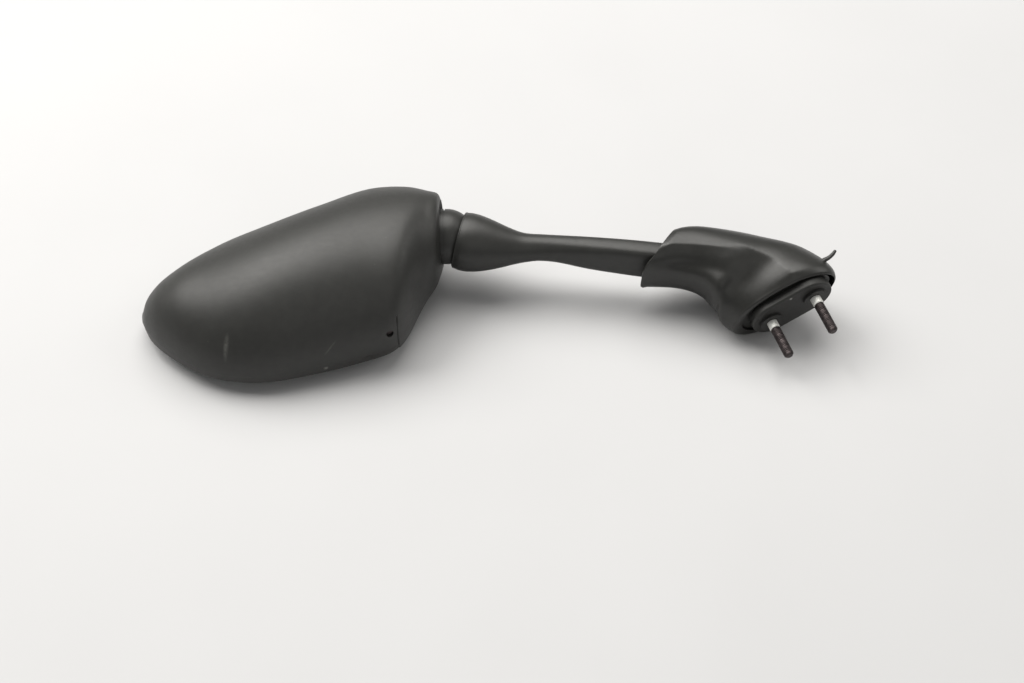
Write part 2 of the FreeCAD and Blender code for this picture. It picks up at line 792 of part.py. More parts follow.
def make_zone(label, inside, outside, edge, hole):
    body = new_body(label)
    sketch = new_sketch(body, "XZ_Plane")
    draw_zone(sketch, inside, outside, edge, hole)
    revolve(body, sketch)
    return body


def make_spring_seat():
    body = new_body("spring_seat")
    sketch = new_sketch(body, "XZ_Plane")
    radius = size("seat_radius")
    start = math.asin(size("seat_reach") / radius)
    stop = math.acos(amount(half("seat_hole")) / radius)
    arc = Part.ArcOfCircle(Part.Circle(HERE, Z, radius), start, stop)
    corner = Vector(amount(half("seat_hole")), size("seat_reach"), 0)
    sketch.addGeometry(arc)
    sketch.addGeometry(Part.LineSegment(arc.EndPoint, corner))
    sketch.addGeometry(Part.LineSegment(corner, arc.StartPoint))
    for index in range(3):
        sketch.addConstraint(Sketcher.Constraint("Coincident", index, 2, (index + 1) % 3, 1))
    sketch.addConstraint(Sketcher.Constraint("Coincident", 0, 3, -1, 1))
    sketch.addConstraint(Sketcher.Constraint("Vertical", 1))
    sketch.addConstraint(Sketcher.Constraint("Horizontal", 2))
    tie(sketch, "Radius", (0,), full("seat_radius"))
    tie_point(sketch, 2, 1, (half("seat_hole"), full("seat_reach")))
    revolve(body, sketch)
    return body


def make_swivel_spring():
    """Compression spring wound from square wire."""
    helix = doc.addObject("Part::Helix", "swivel_spring_path")
    helix.setExpression("Height", "Sizes.spring_length - Sizes.spring_wire")
    helix.setExpression("Pitch", "(Sizes.spring_length - Sizes.spring_wire) / Sizes.spring_turns")
    helix.setExpression("Radius", "(Sizes.spring_diameter - Sizes.spring_wire) / 2")
    wire = doc.addObject("Part::RegularPolygon", "swivel_spring_wire")
    wire.Polygon = 4
    wire.setExpression("Circumradius", "Sizes.spring_wire / sqrt(2)")
    wire.Placement = Placement(HERE, Rotation(X, 90) * Rotation(Z, 45))
    wire.setExpression("Placement.Base.x", "(Sizes.spring_diameter - Sizes.spring_wire) / 2")
    spring = doc.addObject("Part::Sweep", "swivel_spring")
    spring.Sections = [wire]
    spring.Spine = (helix, [])
    spring.Solid = True
    spring.Frenet = True
    return spring


# Head.

def head_form(inset):
    """The head's outer form drawn in by an inset; a hollow runs out through the collar."""
    rings = []
    for name in HEAD_SECTIONS:
        reach, near, height, half_width, half_height = section(name, HEAD_COLUMNS)
        if min(half_width, half_height) - inset < TOO_SMALL:
            continue
        if inset and not rings:
            reach -= size("shell_wall")
        lean = 0.0 if rings else size("collar_lean")
        frame = Placement(Vector(reach, near, height), Rotation(Y, lean) * facing(X, Y))
        rings.append(rounded_ring(half_width - inset, half_height - inset, 2.0, frame))
    return skin(rings)


def slab(bottom, top, start=-BEYOND):
    """Everything between two heights, from a distance along the head onwards."""
    corner = Vector(start, -BEYOND, bottom)
    return Part.makeBox(BEYOND - start, 2 * BEYOND, top - bottom, corner)


def corner_hole():
    """Where the bezel's screw enters the shell, and the way out of the hole."""
    rise = size("corner_hole_rise")
    start = Vector(size("corner_hole_x"), 0, rise)
    line = Part.makeLine(start, start + Y * BEYOND)
    inside = head_form(0).common(line)
    spot = Vector(start.x, inside.BoundBox.YMax, rise)
    outward = Rotation(Z, size("corner_hole_turn")).multVec(Y)
    return spot, outward


def screw_spots():
    """Where the bracket's screws stand, in the head's plan."""
    return [
        Vector(size("pair_screw_x"), size("near_screw_y"), 0),
        Vector(size("pair_screw_x"), size("far_screw_y"), 0),
        Vector(size("end_screw_x"), size("end_screw_y"), 0),
    ]


def make_head_shell():
    """Moulded shell: a whole collar with a floor, then open below the seam for the bezel."""
    form = head_form(0)
    tongue_top = -size("tongue_top")
    floor = form.common(slab(size("rim"), size("floor_top")))
    shell = form.cut(head_form(size("shell_wall"))).fuse(floor)
    for spot in screw_spots():
        pillar = rod(spot + Z * tongue_top, Z, BEYOND, size("pillar_diameter"))
        shell = shell.fuse(form.common(pillar))
    groove = form.cut(head_form(size("corner_line_depth"))).common(Part.makeBox(
        size("corner_line_width"), BEYOND, size("corner_line_top") - size("seam"),
        Vector(size("corner_line_x"), 0, size("seam")),
    ))
    spot, outward = corner_hole()
    sunk = size("bezel_screw_sink") + size("bezel_screw_head_height")
    cuts = [groove, slab(-BEYOND, size("rim"))]
    cuts.append(slab(-BEYOND, size("seam"), size("corner_line_x")))
    cuts.append(rod(spot - outward * sunk, outward, BEYOND, size("corner_hole_diameter")))
    clear = size("bezel_screw_diameter") + 2 * size("screw_clearance")
    cuts.append(rod(spot - outward * size("bezel_screw_length"), outward, BEYOND, clear))
    for place in screw_spots():
        depth = size("bracket_screw_length")
        cuts.append(rod(place + Z * tongue_top, Z, depth, size("bracket_screw_hole")))
    return made("head_shell", shell.cut(cuts))


def make_glass_bezel():
    start = size("bezel_start")
    band = head_form(0).common(slab(size("rim"), size("seam"), start))
    inside = head_form(size("upstand_inset"))
    pocket = head_form(size("pocket_inset"))
    upstand = inside.common(slab(size("seam"), size("upstand_top"), start))
    tab_top = size("corner_hole_rise") + size("tab_width") / 2
    tab = inside.common(Part.makeBox(
        size("tab_width"), BEYOND, tab_top - size("seam"),
        Vector(size("corner_hole_x") - size("tab_width") / 2, size("root_near"), size("seam")),
    ))
    opening = head_form(size("bezel_lip_width"))
    bezel = band.fuse([upstand, tab])
    bezel = bezel.cut(pocket.common(slab(size("glass_front"), BEYOND, size("pocket_start"))))
    bezel = bezel.cut(pocket.common(slab(size("seam"), BEYOND)))
    bezel = bezel.cut(opening.common(slab(-BEYOND, BEYOND, size("opening_start"))))
    spot, outward = corner_hole()
    length = size("bezel_screw_length") + size("screw_clearance")
    clear = size("bezel_screw_diameter") + 2 * size("screw_clearance")
    return made("glass_bezel", bezel.cut(rod(spot, -outward, length, clear)))


def make_mirror_glass():
    glass = head_form(size("glass_inset"))
    space = slab(size("glass_front"), size("glass_back"), size("glass_start"))
    return made("mirror_glass", glass.common(space))


def make_glass_backing():
    foam = head_form(size("glass_inset"))
    space = slab(size("glass_back"), size("backing_back"), size("glass_start"))
    return made("glass_backing", foam.common(space))


def make_bezel_screw():
    spot, outward = corner_hole()
    top = spot - outward * size("bezel_screw_sink")
    head = rod(top, -outward, size("bezel_screw_head_height"), size("bezel_screw_head_diameter"))
    length = size("bezel_screw_length") - size("bezel_screw_sink")
    shank = rod(top, -outward, length, size("bezel_screw_diameter"))
    return made("bezel_screw", head.fuse(shank).removeSplitter())


def make_swivel_bracket():
    ball = make_zone("ball_dome", "ball_inside", "ball_radius", back("ball_depth"), "ball_hole_diameter")
    ball.Placement = Placement(HERE, head_frame.Rotation.inverted() * swivel_turn)
    skirt = ring("ball_skirt", "ball_bore", "ball_diameter", full("skirt_start"), full("skirt_length"))
    skirt.Placement = Placement(HERE, facing(X, Y))
    tongue = new_body("tongue")
    outline = new_sketch(tongue, "XY_Plane", back("tongue_drop"))
    draw_outline(outline, [
        (full("tongue_start"), full("tongue_root_half")),
        (full("pair_screw_x"), full("tongue_near_side")),
        (full("tongue_pair_end"), full("tongue_near_side")),
        (full("tongue_tip"), full("tongue_tip_near")),
        (full("tongue_tip"), full("tongue_tip_far")),
        (full("tongue_pair_end"), full("tongue_far_side")),
        (full("pair_screw_x"), full("tongue_far_side")),
        (full("tongue_start"), back("tongue_root_half")),
    ])
    extrude(tongue, "Pad", outline, full("tongue_thickness"))
    casting = doc.addObject("Part::MultiFuse", "swivel_casting")
    casting.Shapes = [ball, skirt, tongue]
    drills = []
    for index, (across, along) in enumerate((
        ("pair_screw_x", "near_screw_y"), ("pair_screw_x", "far_screw_y"), ("end_screw_x", "end_screw_y"),
    )):
        drill = doc.addObject("Part::Cylinder", f"tongue_drill_{index}")
        drill.setExpression("Radius", "Sizes.bracket_screw_hole / 2")
        drill.setExpression("Height", "Sizes.tongue_thickness")
        drill.setExpression("Placement.Base.x", "Sizes." + across)
        drill.setExpression("Placement.Base.y", "Sizes." + along)
        drill.setExpression("Placement.Base.z", "-Sizes.tongue_drop")
        drills.append(drill)
    drill_set = doc.addObject("Part::MultiFuse", "tongue_drills")
    drill_set.Shapes = drills
    bracket = doc.addObject("Part::Cut", "swivel_bracket")
    bracket.Base = casting
    bracket.Tool = drill_set
    return bracket


def make_bracket_screws():
    screws = []
    for index, spot in enumerate(screw_spots()):
        screw = turned(f"bracket_screw_{index}", [
            (None, back("screw_head_bottom")),
            (half("bracket_screw_head_diameter"), back("screw_head_bottom")),
            (half("bracket_screw_head_diameter"), back("tongue_drop")),
            (half("bracket_screw_diameter"), back("tongue_drop")),
            (half("bracket_screw_diameter"), back("screw_tip")),
            (None, back("screw_tip")),
        ])
        screw.Placement = Placement(spot, Rotation())
        screws.append(screw)
    return group("bracket_screws", screws)


def build_pieces():
    """Every piece with the frame that it is drawn in."""
    return [
        (make_base_pad(), mount_frame),
        (make_base_bracket(), mount_frame),
        (make_mounting_studs(), mount_frame),
        (make_fold_bolt(), mount_frame),
        (ring("fold_thrust_washer", "fold_washer_hole", "thrust_washer_diameter",
              full("post_top"), full("eye_bottom")), mount_frame),
        (ring("fold_cap_washer", "fold_washer_hole", "cap_washer_diameter",
              full("eye_top"), full("cap_top")), mount_frame),
        (make_fold_disc_springs(), mount_frame),
        (hex_nut("fold_nut", "fold_head_flats", "fold_nut_height", "fold_hole",
                 full("second_disc_top")), mount_frame),
        (make_rubber_boot(), mount_frame),
        (make_stem(), stem_frame),
        (ring("fold_bush", "bush_hole", "bush_diameter", full("eye_bottom"), full("eye_top")), mount_frame),
        (make_zone("cup_liner", "liner_inside", "liner_outside", full("liner_edge"),
                   "liner_hole_diameter"), swivel_frame),
        (turned("swivel_stud", [
            (None, full("swivel_stud_end")),
            (half("swivel_stud_diameter"), full("swivel_stud_end")),
            (half("swivel_stud_diameter"), full("swivel_stud_depth")),
            (None, full("swivel_stud_depth")),
        ]), swivel_frame),
        (make_swivel_spring(), spring_frame),
        (ring("spring_washer", "swivel_hole", "spring_washer_diameter",
              full("spring_washer_end"), full("spring_end")), swivel_frame),
        (hex_nut("swivel_nut", "swivel_nut_flats", "swivel_nut_height", "swivel_hole",
                 full("swivel_nut_end")), swivel_frame),
        (make_spring_seat(), swivel_frame),
        (make_zone("seat_slipper", "slipper_inside", "slipper_outside", full("slipper_reach"),
                   "slipper_hole_diameter"), swivel_frame),
        (make_swivel_bracket(), head_frame),
        (make_bracket_screws(), head_frame),
        (make_head_shell(), head_frame),
        (make_glass_bezel(), head_frame),
        (make_mirror_glass(), head_frame),
        (make_glass_backing(), head_frame),
        (make_bezel_screw(), head_frame),
    ]


def check_and_write(pieces):
    """Stops on any failed object or bad shape, then writes one file for each piece."""
    for item in doc.Objects:
        if "Invalid" in item.State or "Error" in item.State:
            raise RuntimeError(f"{item.Label} did not build: {item.State}")
    for piece in pieces:
        if piece.Shape.isNull() or not piece.Shape.isValid():
            raise RuntimeError(f"{piece.Label} has no valid shape")
    os.makedirs("parts", exist_ok=True)
    for piece in pieces:
        piece.Shape.exportStep(os.path.join("parts", piece.Label + ".step"))


drawn = build_pieces()
for piece, frame in drawn:
    piece.Placement = frame
doc.recompute()
check_and_write([piece for piece, frame in drawn])
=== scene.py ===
import json
import math

import bmesh
import bpy
import numpy as np
from bpy.props import FloatProperty, FloatVectorProperty, PointerProperty
from mathutils import Matrix, Vector


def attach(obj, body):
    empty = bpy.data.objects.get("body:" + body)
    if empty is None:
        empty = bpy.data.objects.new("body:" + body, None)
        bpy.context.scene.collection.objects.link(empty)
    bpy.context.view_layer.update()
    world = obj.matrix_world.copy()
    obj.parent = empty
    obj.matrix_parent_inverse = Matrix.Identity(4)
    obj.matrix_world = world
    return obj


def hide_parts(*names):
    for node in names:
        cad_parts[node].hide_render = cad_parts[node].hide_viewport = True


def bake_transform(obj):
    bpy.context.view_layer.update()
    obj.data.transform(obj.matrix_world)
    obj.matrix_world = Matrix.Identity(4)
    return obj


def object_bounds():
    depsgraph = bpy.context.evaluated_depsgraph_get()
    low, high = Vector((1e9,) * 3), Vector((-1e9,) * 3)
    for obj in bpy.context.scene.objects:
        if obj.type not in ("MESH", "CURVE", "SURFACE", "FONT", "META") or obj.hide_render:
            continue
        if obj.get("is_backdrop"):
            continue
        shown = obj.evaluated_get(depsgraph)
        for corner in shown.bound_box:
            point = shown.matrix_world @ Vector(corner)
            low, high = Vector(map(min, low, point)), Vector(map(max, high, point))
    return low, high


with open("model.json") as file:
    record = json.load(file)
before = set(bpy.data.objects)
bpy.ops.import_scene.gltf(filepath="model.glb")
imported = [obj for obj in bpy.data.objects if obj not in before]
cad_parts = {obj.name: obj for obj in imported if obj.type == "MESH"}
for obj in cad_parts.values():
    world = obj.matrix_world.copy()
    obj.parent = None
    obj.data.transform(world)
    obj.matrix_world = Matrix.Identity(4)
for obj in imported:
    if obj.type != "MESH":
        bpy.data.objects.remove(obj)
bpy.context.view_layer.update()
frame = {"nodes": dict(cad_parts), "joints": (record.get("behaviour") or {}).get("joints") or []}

bl_info = {
    "name": "Motorcycle mirror",
    "version": (1, 0, 0),
    "blender": (4, 5, 0),
    "location": "3D View > Sidebar > Mirror",
    "description": "Dresses the solids of a folding fairing mirror",
    "category": "Object",
}

MM = 0.001
JOINTS = {joint["name"]: joint for joint in frame["joints"]}
BALL = Vector(JOINTS["head_twist"]["pos_m"])
EYE = Vector(JOINTS["fold"]["pos_m"])
CUP_AXIS = Vector(JOINTS["head_twist"]["axis"])

# How the mount stands in the part's frame, in degrees, as in the solids.
MOUNT_YAW = 20.0
MOUNT_PITCH = 7.0
MOUNT_ROLL = -28.0


def turn(axis, degrees):
    """Rotation about an axis of the frame."""
    return Matrix.Rotation(math.radians(degrees), 4, axis)


MOUNT = (
    turn("Z", MOUNT_YAW) @ turn("X", MOUNT_PITCH)
    @ turn("Z", 180) @ turn("X", 90) @ turn("Z", MOUNT_ROLL)
)
HEAD = Matrix.Translation(BALL) @ turn("Z", 180)

# Sections of the head in mm: reach from the ball, centre towards the near edge, centre height, half
# width, half height. The first is the rim of the collar.
HEAD_SECTIONS = (
    (3.0, -1.0, 1.2, 20.4, 20.4),
    (5.5, 1.5, -0.5, 27.6, 26.3),
    (12.0, 4.5, -3.5, 34.0, 32.0),
    (26.0, 15.5, -10.0, 52.5, 42.5),
    (45.0, 18.0, -18.0, 58.0, 50.0),
    (75.0, 28.0, -23.5, 57.5, 53.0),
    (105.0, 37.5, -25.0, 54.3, 49.0),
    (135.0, 42.0, -25.0, 45.5, 39.0),
    (158.0, 43.5, -25.0, 30.3, 29.5),
    (170.0, 43.2, -25.0, 19.4, 20.2),
    (176.0, 43.0, -25.0, 11.2, 11.9),
    (178.6, 43.0, -25.0, 4.2, 4.6),
)
HEAD_TIP = (179.0, 43.0, -25.0)
SHELL_WALL = 3.0

# Heights in mm where the shell ends: at the bezel's seam, and at its floor on the collar's side.
HEAD_SEAM = -20.5
HEAD_RIM = -25.0

# Lean of the collar's rim, in degrees.
COLLAR_LEAN = 2.5

# The line moulded across the corner, in mm: its reach, its top, and how far out the near flank starts.
CORNER_LINE = 26.6
CORNER_LINE_TOP = 3.0
NEAR_FLANK = 40.0

# The screw hole beside it: turn in degrees, then radius, length and height of the screw's head in mm.
CORNER_HOLE_TURN = 20.0
CORNER_HOLE_RADIUS = 2.2
CORNER_HOLE_LENGTH = 12.0
CORNER_SCREW_HEAD = 1.0

# Sections of the boot in mm: forward, height, lean in degrees, half length, half width, fullness.
# The first ones turn in under the flange of the bracket.
BOOT_LIP = (
    (0.6, 4.8, 0.0, 30.0, 17.6, 2.0),
    (2.4, 4.8, 0.0, 32.3, 18.6, 2.0),
    (3.0, 5.4, 0.0, 33.5, 19.5, 2.0),
    (3.2, 6.8, 0.0, 34.2, 20.0, 2.0),
)
BOOT_SECTIONS = (
    (8.8, 22.0, 14.0, 32.6, 21.0, 2.2),
    (19.5, 35.5, 36.0, 22.5, 20.0, 2.5),
    (42.0, 52.0, 46.0, 17.0, 17.0, 2.8),
    (63.4, 58.0, 37.0, 14.8, 15.5, 3.0),
)
BOOT_WALL = 1.4

# Lean in degrees from which a section faces fully along the stem.
BOOT_FULL_LEAN = 36.0

# Courses of the ridge and of the valley beside it: share of the way from mouth to cuff, degrees round.
BOOT_RIDGE = (
    (0.0, 114.0), (0.1, 110.0), (0.23, 104.0), (0.35, 96.0), (0.57, 86.0), (0.8, 84.0), (1.0, 88.0),
)
BOOT_VALLEY = ((0.0, 78.0), (0.25, 66.0), (0.5, 46.0), (0.7, 42.0), (1.0, 36.0))

# Widths in mm over which the ridge falls to its upper and lower side, the rounding of its crest, and
# the half width of the valley.
RIDGE_FALL_ABOVE = 11.0
RIDGE_FALL_BELOW = 3.2
RIDGE_CREST = 0.4
VALLEY_WIDTH = 8.0

# Shares of the boot's length over which each comes in at the mouth and goes out at the cuff.
RIDGE_FADE = (0.07, 0.1)
VALLEY_FADE = (0.25, 0.2)

# Fuller places of the boot: share of the way, degrees round, then how far each spreads, as a share
# and in mm. The shoulder is at the cuff's far upper side and the heel fills the bend underneath.
BOOT_SHOULDER = (0.93, 135.0, 0.22, 14.0)
BOOT_HEEL = (0.44, -12.0, 0.12, 17.0)

# The cuff is cut on a slant: degrees round of its shortest side, and the share missing there.
CUFF_SHORT_SIDE = 140.0
CUFF_SLANT = 0.055

# The bead on the cuff: share of the way along the boot, and its half width as a share.
CUFF_BEAD_PLACE = 0.985
CUFF_BEAD_WIDTH = 0.012

# Tail of rubber left at the boot's far end, in the part's frame in mm, with its half thickness.
BOOT_TAIL = (
    (15.5, 18.6, 18.6, 1.3), (18.2, 20.4, 19.4, 1.15), (20.6, 21.4, 20.2, 1.0),
    (22.8, 22.8, 21.4, 0.9), (24.6, 24.6, 22.9, 0.7),
)

# Marks: centre in the part's frame in mm, turn in degrees, half sizes in mm, colour. On the shell a rub
# of use near the tip and a fainter one on the flank, a chip on the bezel, and on the pad's edge a
# painted highlight, a glint.
SHELL_MARKS = (
    ((-324.7, -34.0, 5.4), (-30, 0, -14), (1.9, 10.0, 9.5), "#6a6a66"),
    ((-266.5, -31.2, 1.5), (0, 41, 0), (0.8, 7.0, 7.0), "#55554f"),
)
BEZEL_MARKS = (((-269.9, -34.3, -12.6), (0, 0, 0), (1.6, 1.6, 1.6), "#9a9a94"),)
# A painted highlight: the near-white glint on the pad's edge.
PAD_GLINT = (((-2.6, -2.4, 11.0), (0, 0, 0), (1.1, 1.1, 1.1), "#f4f4ee"),)

# The bead on the cup's mouth in mm: reach from the ball along the cup's axis, radius, half thickness.
LIP_REACH = 8.0
LIP_RADIUS = 16.6
LIP_BEAD = 0.5

# The studs in mm: spacing, reach below the mount's face, radius of the plain shank, then the sunk
# head's underside, top, radius and edge.
STUD_SPACING = 28.5
STUD_REACH = 26.0
STUD_SHANK_RADIUS = 3.1
STUD_TOP = 10.0
STUD_HEAD_TOP = 14.0
STUD_HEAD_RADIUS = 4.9
STUD_HEAD_EDGE = 0.4

# The studs' thread in mm: depth, chamfer at the end, taper under the shank, gaps at start and end.
THREAD_DEPTH = 0.34
THREAD_CHAMFER = 0.8
THREAD_TAPER = 0.5
THREAD_START_GAP = 0.3
THREAD_END_GAP = 0.6

# The camera, at the photo's angle: lengths in metres, elevation in degrees, lens in mm.
CAMERA_TARGET = Vector((-163.1, -7.4, -21.0)) * MM
CAMERA_DISTANCE = 970.6 * MM
CAMERA_ELEVATION = 50.0
CAMERA_LENS = 58.0
CAMERA_SENSOR = 36.0

# Round soft lamps: place and width in metres, watts. All face the middle of the mirror.
LAMPS = (
    ("key", (-0.3, 1.0, 1.95), 2.2, 50.0),
    ("left_key", (-1.5, 0.72, 1.55), 1.5, 34.0),
    ("front_fill", (0.3, -1.5, 1.2), 1.6, 3.0),
    ("side_fill", (1.2, 0.4, 1.0), 1.0, 5.0),
)
LAMP_TARGET = Vector((-0.18, 0.0, 0.0))
LAMP_COLOUR = "#fffdf9"
SKY_COLOUR = "#f4f4f2"
SKY_STRENGTH = 0.28

# Half width of the floor in metres, and its gap under the mirror in mm.
FLOOR_HALF = 6.0
FLOOR_GAP = 0.2

# Sockets of a Mix node that mixes colours.
MIX_A = 6
MIX_B = 7
MIXED = 2


def linear(hex_colour):
    """An sRGB hex value as linear RGBA."""
    channels = [int(hex_colour[i:i + 2], 16) / 255 for i in (1, 3, 5)]
    return [c / 12.92 if c <= 0.04045 else ((c + 0.055) / 1.055) ** 2.4 for c in channels] + [1.0]


class MirrorSizes(bpy.types.PropertyGroup):
    """Sizes of the detail on the moulded, cast and turned pieces"""

    edge_round: FloatProperty(
        name="Edge round", description="Rounding of the moulded edges",
        default=0.5 * MM, unit="LENGTH",
    )
    seam_width: FloatProperty(
        name="Corner seam width", description="Width of the line moulded beside the corner hole",
        default=0.9 * MM, unit="LENGTH",
    )
    seam_depth: FloatProperty(
        name="Corner seam depth", description="Depth of that line",
        default=0.8 * MM, unit="LENGTH",
    )
    ridge_height: FloatProperty(
        name="Boot ridge", description="How far the ridge along the boot stands out",
        default=2.5 * MM, unit="LENGTH",
    )
    valley_depth: FloatProperty(
        name="Boot valley", description="How far the boot sinks in beside its ridge",
        default=2.6 * MM, unit="LENGTH",
    )
    shoulder_height: FloatProperty(
        name="Boot shoulder", description="How far the boot rises at the upper side of its cuff",
        default=2.8 * MM, unit="LENGTH",
    )
    heel_height: FloatProperty(
        name="Boot heel", description="How far the boot fills out in the bend under its neck",
        default=4.2 * MM, unit="LENGTH",
    )
    cuff_bead: FloatProperty(
        name="Cuff bead", description="How far the bead on the boot's cuff stands out",
        default=0.7 * MM, unit="LENGTH",
    )
    stud_radius: FloatProperty(
        name="Stud radius", description="Outside radius of the studs",
        default=3.0 * MM, unit="LENGTH",
    )
    thread_pitch: FloatProperty(
        name="Thread pitch", description="Pitch of the studs' coarse thread",
        default=1.0 * MM, unit="LENGTH",
    )
    thread_start: FloatProperty(
        name="Plain shank", description="Length of plain shank between the pad and the thread",
        default=5.6 * MM, unit="LENGTH",
    )


class MirrorColours(bpy.types.PropertyGroup):
    """Colours of the finishes, as linear values"""

    shell: FloatVectorProperty(
        name="Shell", description="Moulded black plastic of the head", subtype="COLOR",
        size=3, min=0, max=1, default=linear("#282826")[:3],
    )
    casting: FloatVectorProperty(
        name="Casting", description="Satin black coat of the castings", subtype="COLOR",
        size=3, min=0, max=1, default=linear("#272725")[:3],
    )
    rubber: FloatVectorProperty(
        name="Rubber", description="Black rubber of the boot and pad", subtype="COLOR",
        size=3, min=0, max=1, default=linear("#232321")[:3],
    )
    floor: FloatVectorProperty(
        name="Floor", description="Pale floor under the mirror", subtype="COLOR",
        size=3, min=0, max=1, default=linear("#c4c4c5")[:3],
    )


def per_mm(size):
    """Texture scale at which a pattern's features are about that many mm."""
    return 1 / (size * MM)


def add(tree, kind, inputs=None, **settings):
    """Adds a node: its settings, then its inputs as values or as links from sockets."""
    made = tree.nodes.new(kind)
    for name, value in settings.items():
        setattr(made, name, value)
    for name, value in (inputs or {}).items():
        if isinstance(value, bpy.types.NodeSocket):
            tree.links.new(value, made.inputs[name])
        else:
            made.inputs[name].default_value = value
    return made


def new_material(name):
    """Empty node material, with its tree and its object coordinates."""
    material = bpy.data.materials.new(name)
    material.use_nodes = True
    tree = material.node_tree
    tree.nodes.clear()
    place = add(tree, "ShaderNodeTexCoord").outputs["Object"]
    return material, tree, place


def finish_material(tree, shader):
    """Joins a shader to the material's output."""
    add(tree, "ShaderNodeOutputMaterial", {"Surface": shader.outputs[0]})


def mottled(tree, place, size, low, high, detail=4.0):
    """Noise of a size in mm, spread between two values."""
    noise = add(tree, "ShaderNodeTexNoise", {"Vector": place, "Scale": per_mm(size), "Detail": detail})
    spread = add(tree, "ShaderNodeMapRange", {
        "Value": noise.outputs["Fac"], "From Min": 0.3, "From Max": 0.7, "To Min": low, "To Max": high,
    })
    return spread.outputs["Result"]


def dull_black(name, colour, grain_mm, grain_depth, rough, fleck, wear_and_glints=()):
    """Black surface with a fine grain, a little dust, and the pale spots it is given: wear, and on the
    pad a painted highlight.
    """
    material, tree, place = new_material(name)
    dark = [c * 0.9 for c in colour] + [1.0]
    pale = [c * 1.12 for c in colour] + [1.0]
    shade = mottled(tree, place, 6.0, 0.0, 1.0)
    base = add(tree, "ShaderNodeMix", {"Factor": shade, MIX_A: dark, MIX_B: pale}, data_type="RGBA")
    specks = add(tree, "ShaderNodeTexVoronoi", {"Vector": place, "Scale": per_mm(fleck)})
    dust = add(tree, "ShaderNodeMapRange", {
        "Value": specks.outputs["Distance"], "From Min": 0.015, "From Max": 0.03,
        "To Min": 0.12, "To Max": 0.0,
    })
    colour_out = add(tree, "ShaderNodeMix", {
        "Factor": dust.outputs["Result"], MIX_A: base.outputs[MIXED], MIX_B: linear("#8f8d86"),
    }, data_type="RGBA").outputs[MIXED]
    rough_out = mottled(tree, place, 2.5, rough - 0.03, rough + 0.03)
    # Each spot mixes a pale colour in: wear on the shell and bezel, a painted highlight on the pad.
    for centre, degrees, halves, hex_colour in wear_and_glints:
        local = add(tree, "ShaderNodeMapping", {
            "Vector": place, "Location": Vector(centre) * MM, "Scale": Vector(halves) * MM,
            "Rotation": [math.radians(angle) for angle in degrees],
        }, vector_type="TEXTURE")
        smear = add(tree, "ShaderNodeTexGradient", {
            "Vector": local.outputs[0],
        }, gradient_type="SPHERICAL")
        broken = add(tree, "ShaderNodeTexNoise", {"Vector": place, "Scale": per_mm(1.6), "Detail": 3.0})
        mask = add(tree, "ShaderNodeMath", {
            0: smear.outputs["Fac"], 1: broken.outputs["Fac"],
        }, operation="MULTIPLY", use_clamp=True)
        colour_out = add(tree, "ShaderNodeMix", {
            "Factor": mask.outputs[0], MIX_A: colour_out, MIX_B: linear(hex_colour),
        }, data_type="RGBA").outputs[MIXED]
    grain = add(tree, "ShaderNodeTexNoise", {"Vector": place, "Scale": per_mm(grain_mm), "Detail": 2.0})
    bump = add(tree, "ShaderNodeBump", {
        "Height": grain.outputs["Fac"], "Strength": 0.5, "Distance": grain_depth * MM,
    })
    shader = add(tree, "ShaderNodeBsdfPrincipled", {
        "Base Color": colour_out, "Roughness": rough_out, "Normal": bump.outputs[0], "IOR": 1.5,
    })
    finish_material(tree, shader)
    return material


def bare_metal(name, hex_dark, hex_pale, rough, line_mm, metal=1.0):
    """Machined or plated metal with fine turning lines and uneven gloss."""
    material, tree, place = new_material(name)
    tone = mottled(tree, place, 3.0, 0.0, 1.0)
    base = add(tree, "ShaderNodeMix", {
        "Factor": tone, MIX_A: linear(hex_dark), MIX_B: linear(hex_pale),
    }, data_type="RGBA")
    lines = add(tree, "ShaderNodeTexNoise", {"Vector": place, "Scale": per_mm(line_mm), "Detail": 2.0})
    bump = add(tree, "ShaderNodeBump", {
        "Height": lines.outputs["Fac"], "Strength": 0.3, "Distance": 0.02 * MM,
    })
    shader = add(tree, "ShaderNodeBsdfPrincipled", {
        "Base Color": base.outputs[MIXED], "Normal": bump.outputs[0], "Metallic": metal,
        "Roughness": mottled(tree, place, 1.5, rough - 0.06, rough + 0.08),
    })
    finish_material(tree, shader)
    return material


def plain_plastic(name, hex_dark, hex_pale, rough):
    """Moulded nylon, acetal or foam: close shades and a slight ripple."""
    material, tree, place = new_material(name)
    base = add(tree, "ShaderNodeMix", {
        "Factor": mottled(tree, place, 5.0, 0.0, 1.0),
        MIX_A: linear(hex_dark), MIX_B: linear(hex_pale),
    }, data_type="RGBA")
    ripple = add(tree, "ShaderNodeTexNoise", {"Vector": place, "Scale": per_mm(0.8)})
    bump = add(tree, "ShaderNodeBump", {
        "Height": ripple.outputs["Fac"], "Strength": 0.25, "Distance": 0.05 * MM,
    })
    shader = add(tree, "ShaderNodeBsdfPrincipled", {
        "Base Color": base.outputs[MIXED], "Normal": bump.outputs[0],
        "Roughness": mottled(tree, place, 3.0, rough - 0.05, rough + 0.05),
    })
    finish_material(tree, shader)
    return material


def silvered_glass():
    """Float glass silvered on its back: a clear, slightly cold reflection with faint smears."""
    material, tree, place = new_material("silvered_glass")
    smear = mottled(tree, place, 22.0, 0.015, 0.06)
    tone = add(tree, "ShaderNodeMix", {
        "Factor": mottled(tree, place, 30.0, 0.0, 1.0),
        MIX_A: linear("#c9cfd3"), MIX_B: linear("#d6dadc"),
    }, data_type="RGBA")
    shader = add(tree, "ShaderNodeBsdfPrincipled", {
        "Base Color": tone.outputs[MIXED], "Roughness": smear, "Metallic": 1.0,
    })
    finish_material(tree, shader)
    return material


MATERIALS = {}


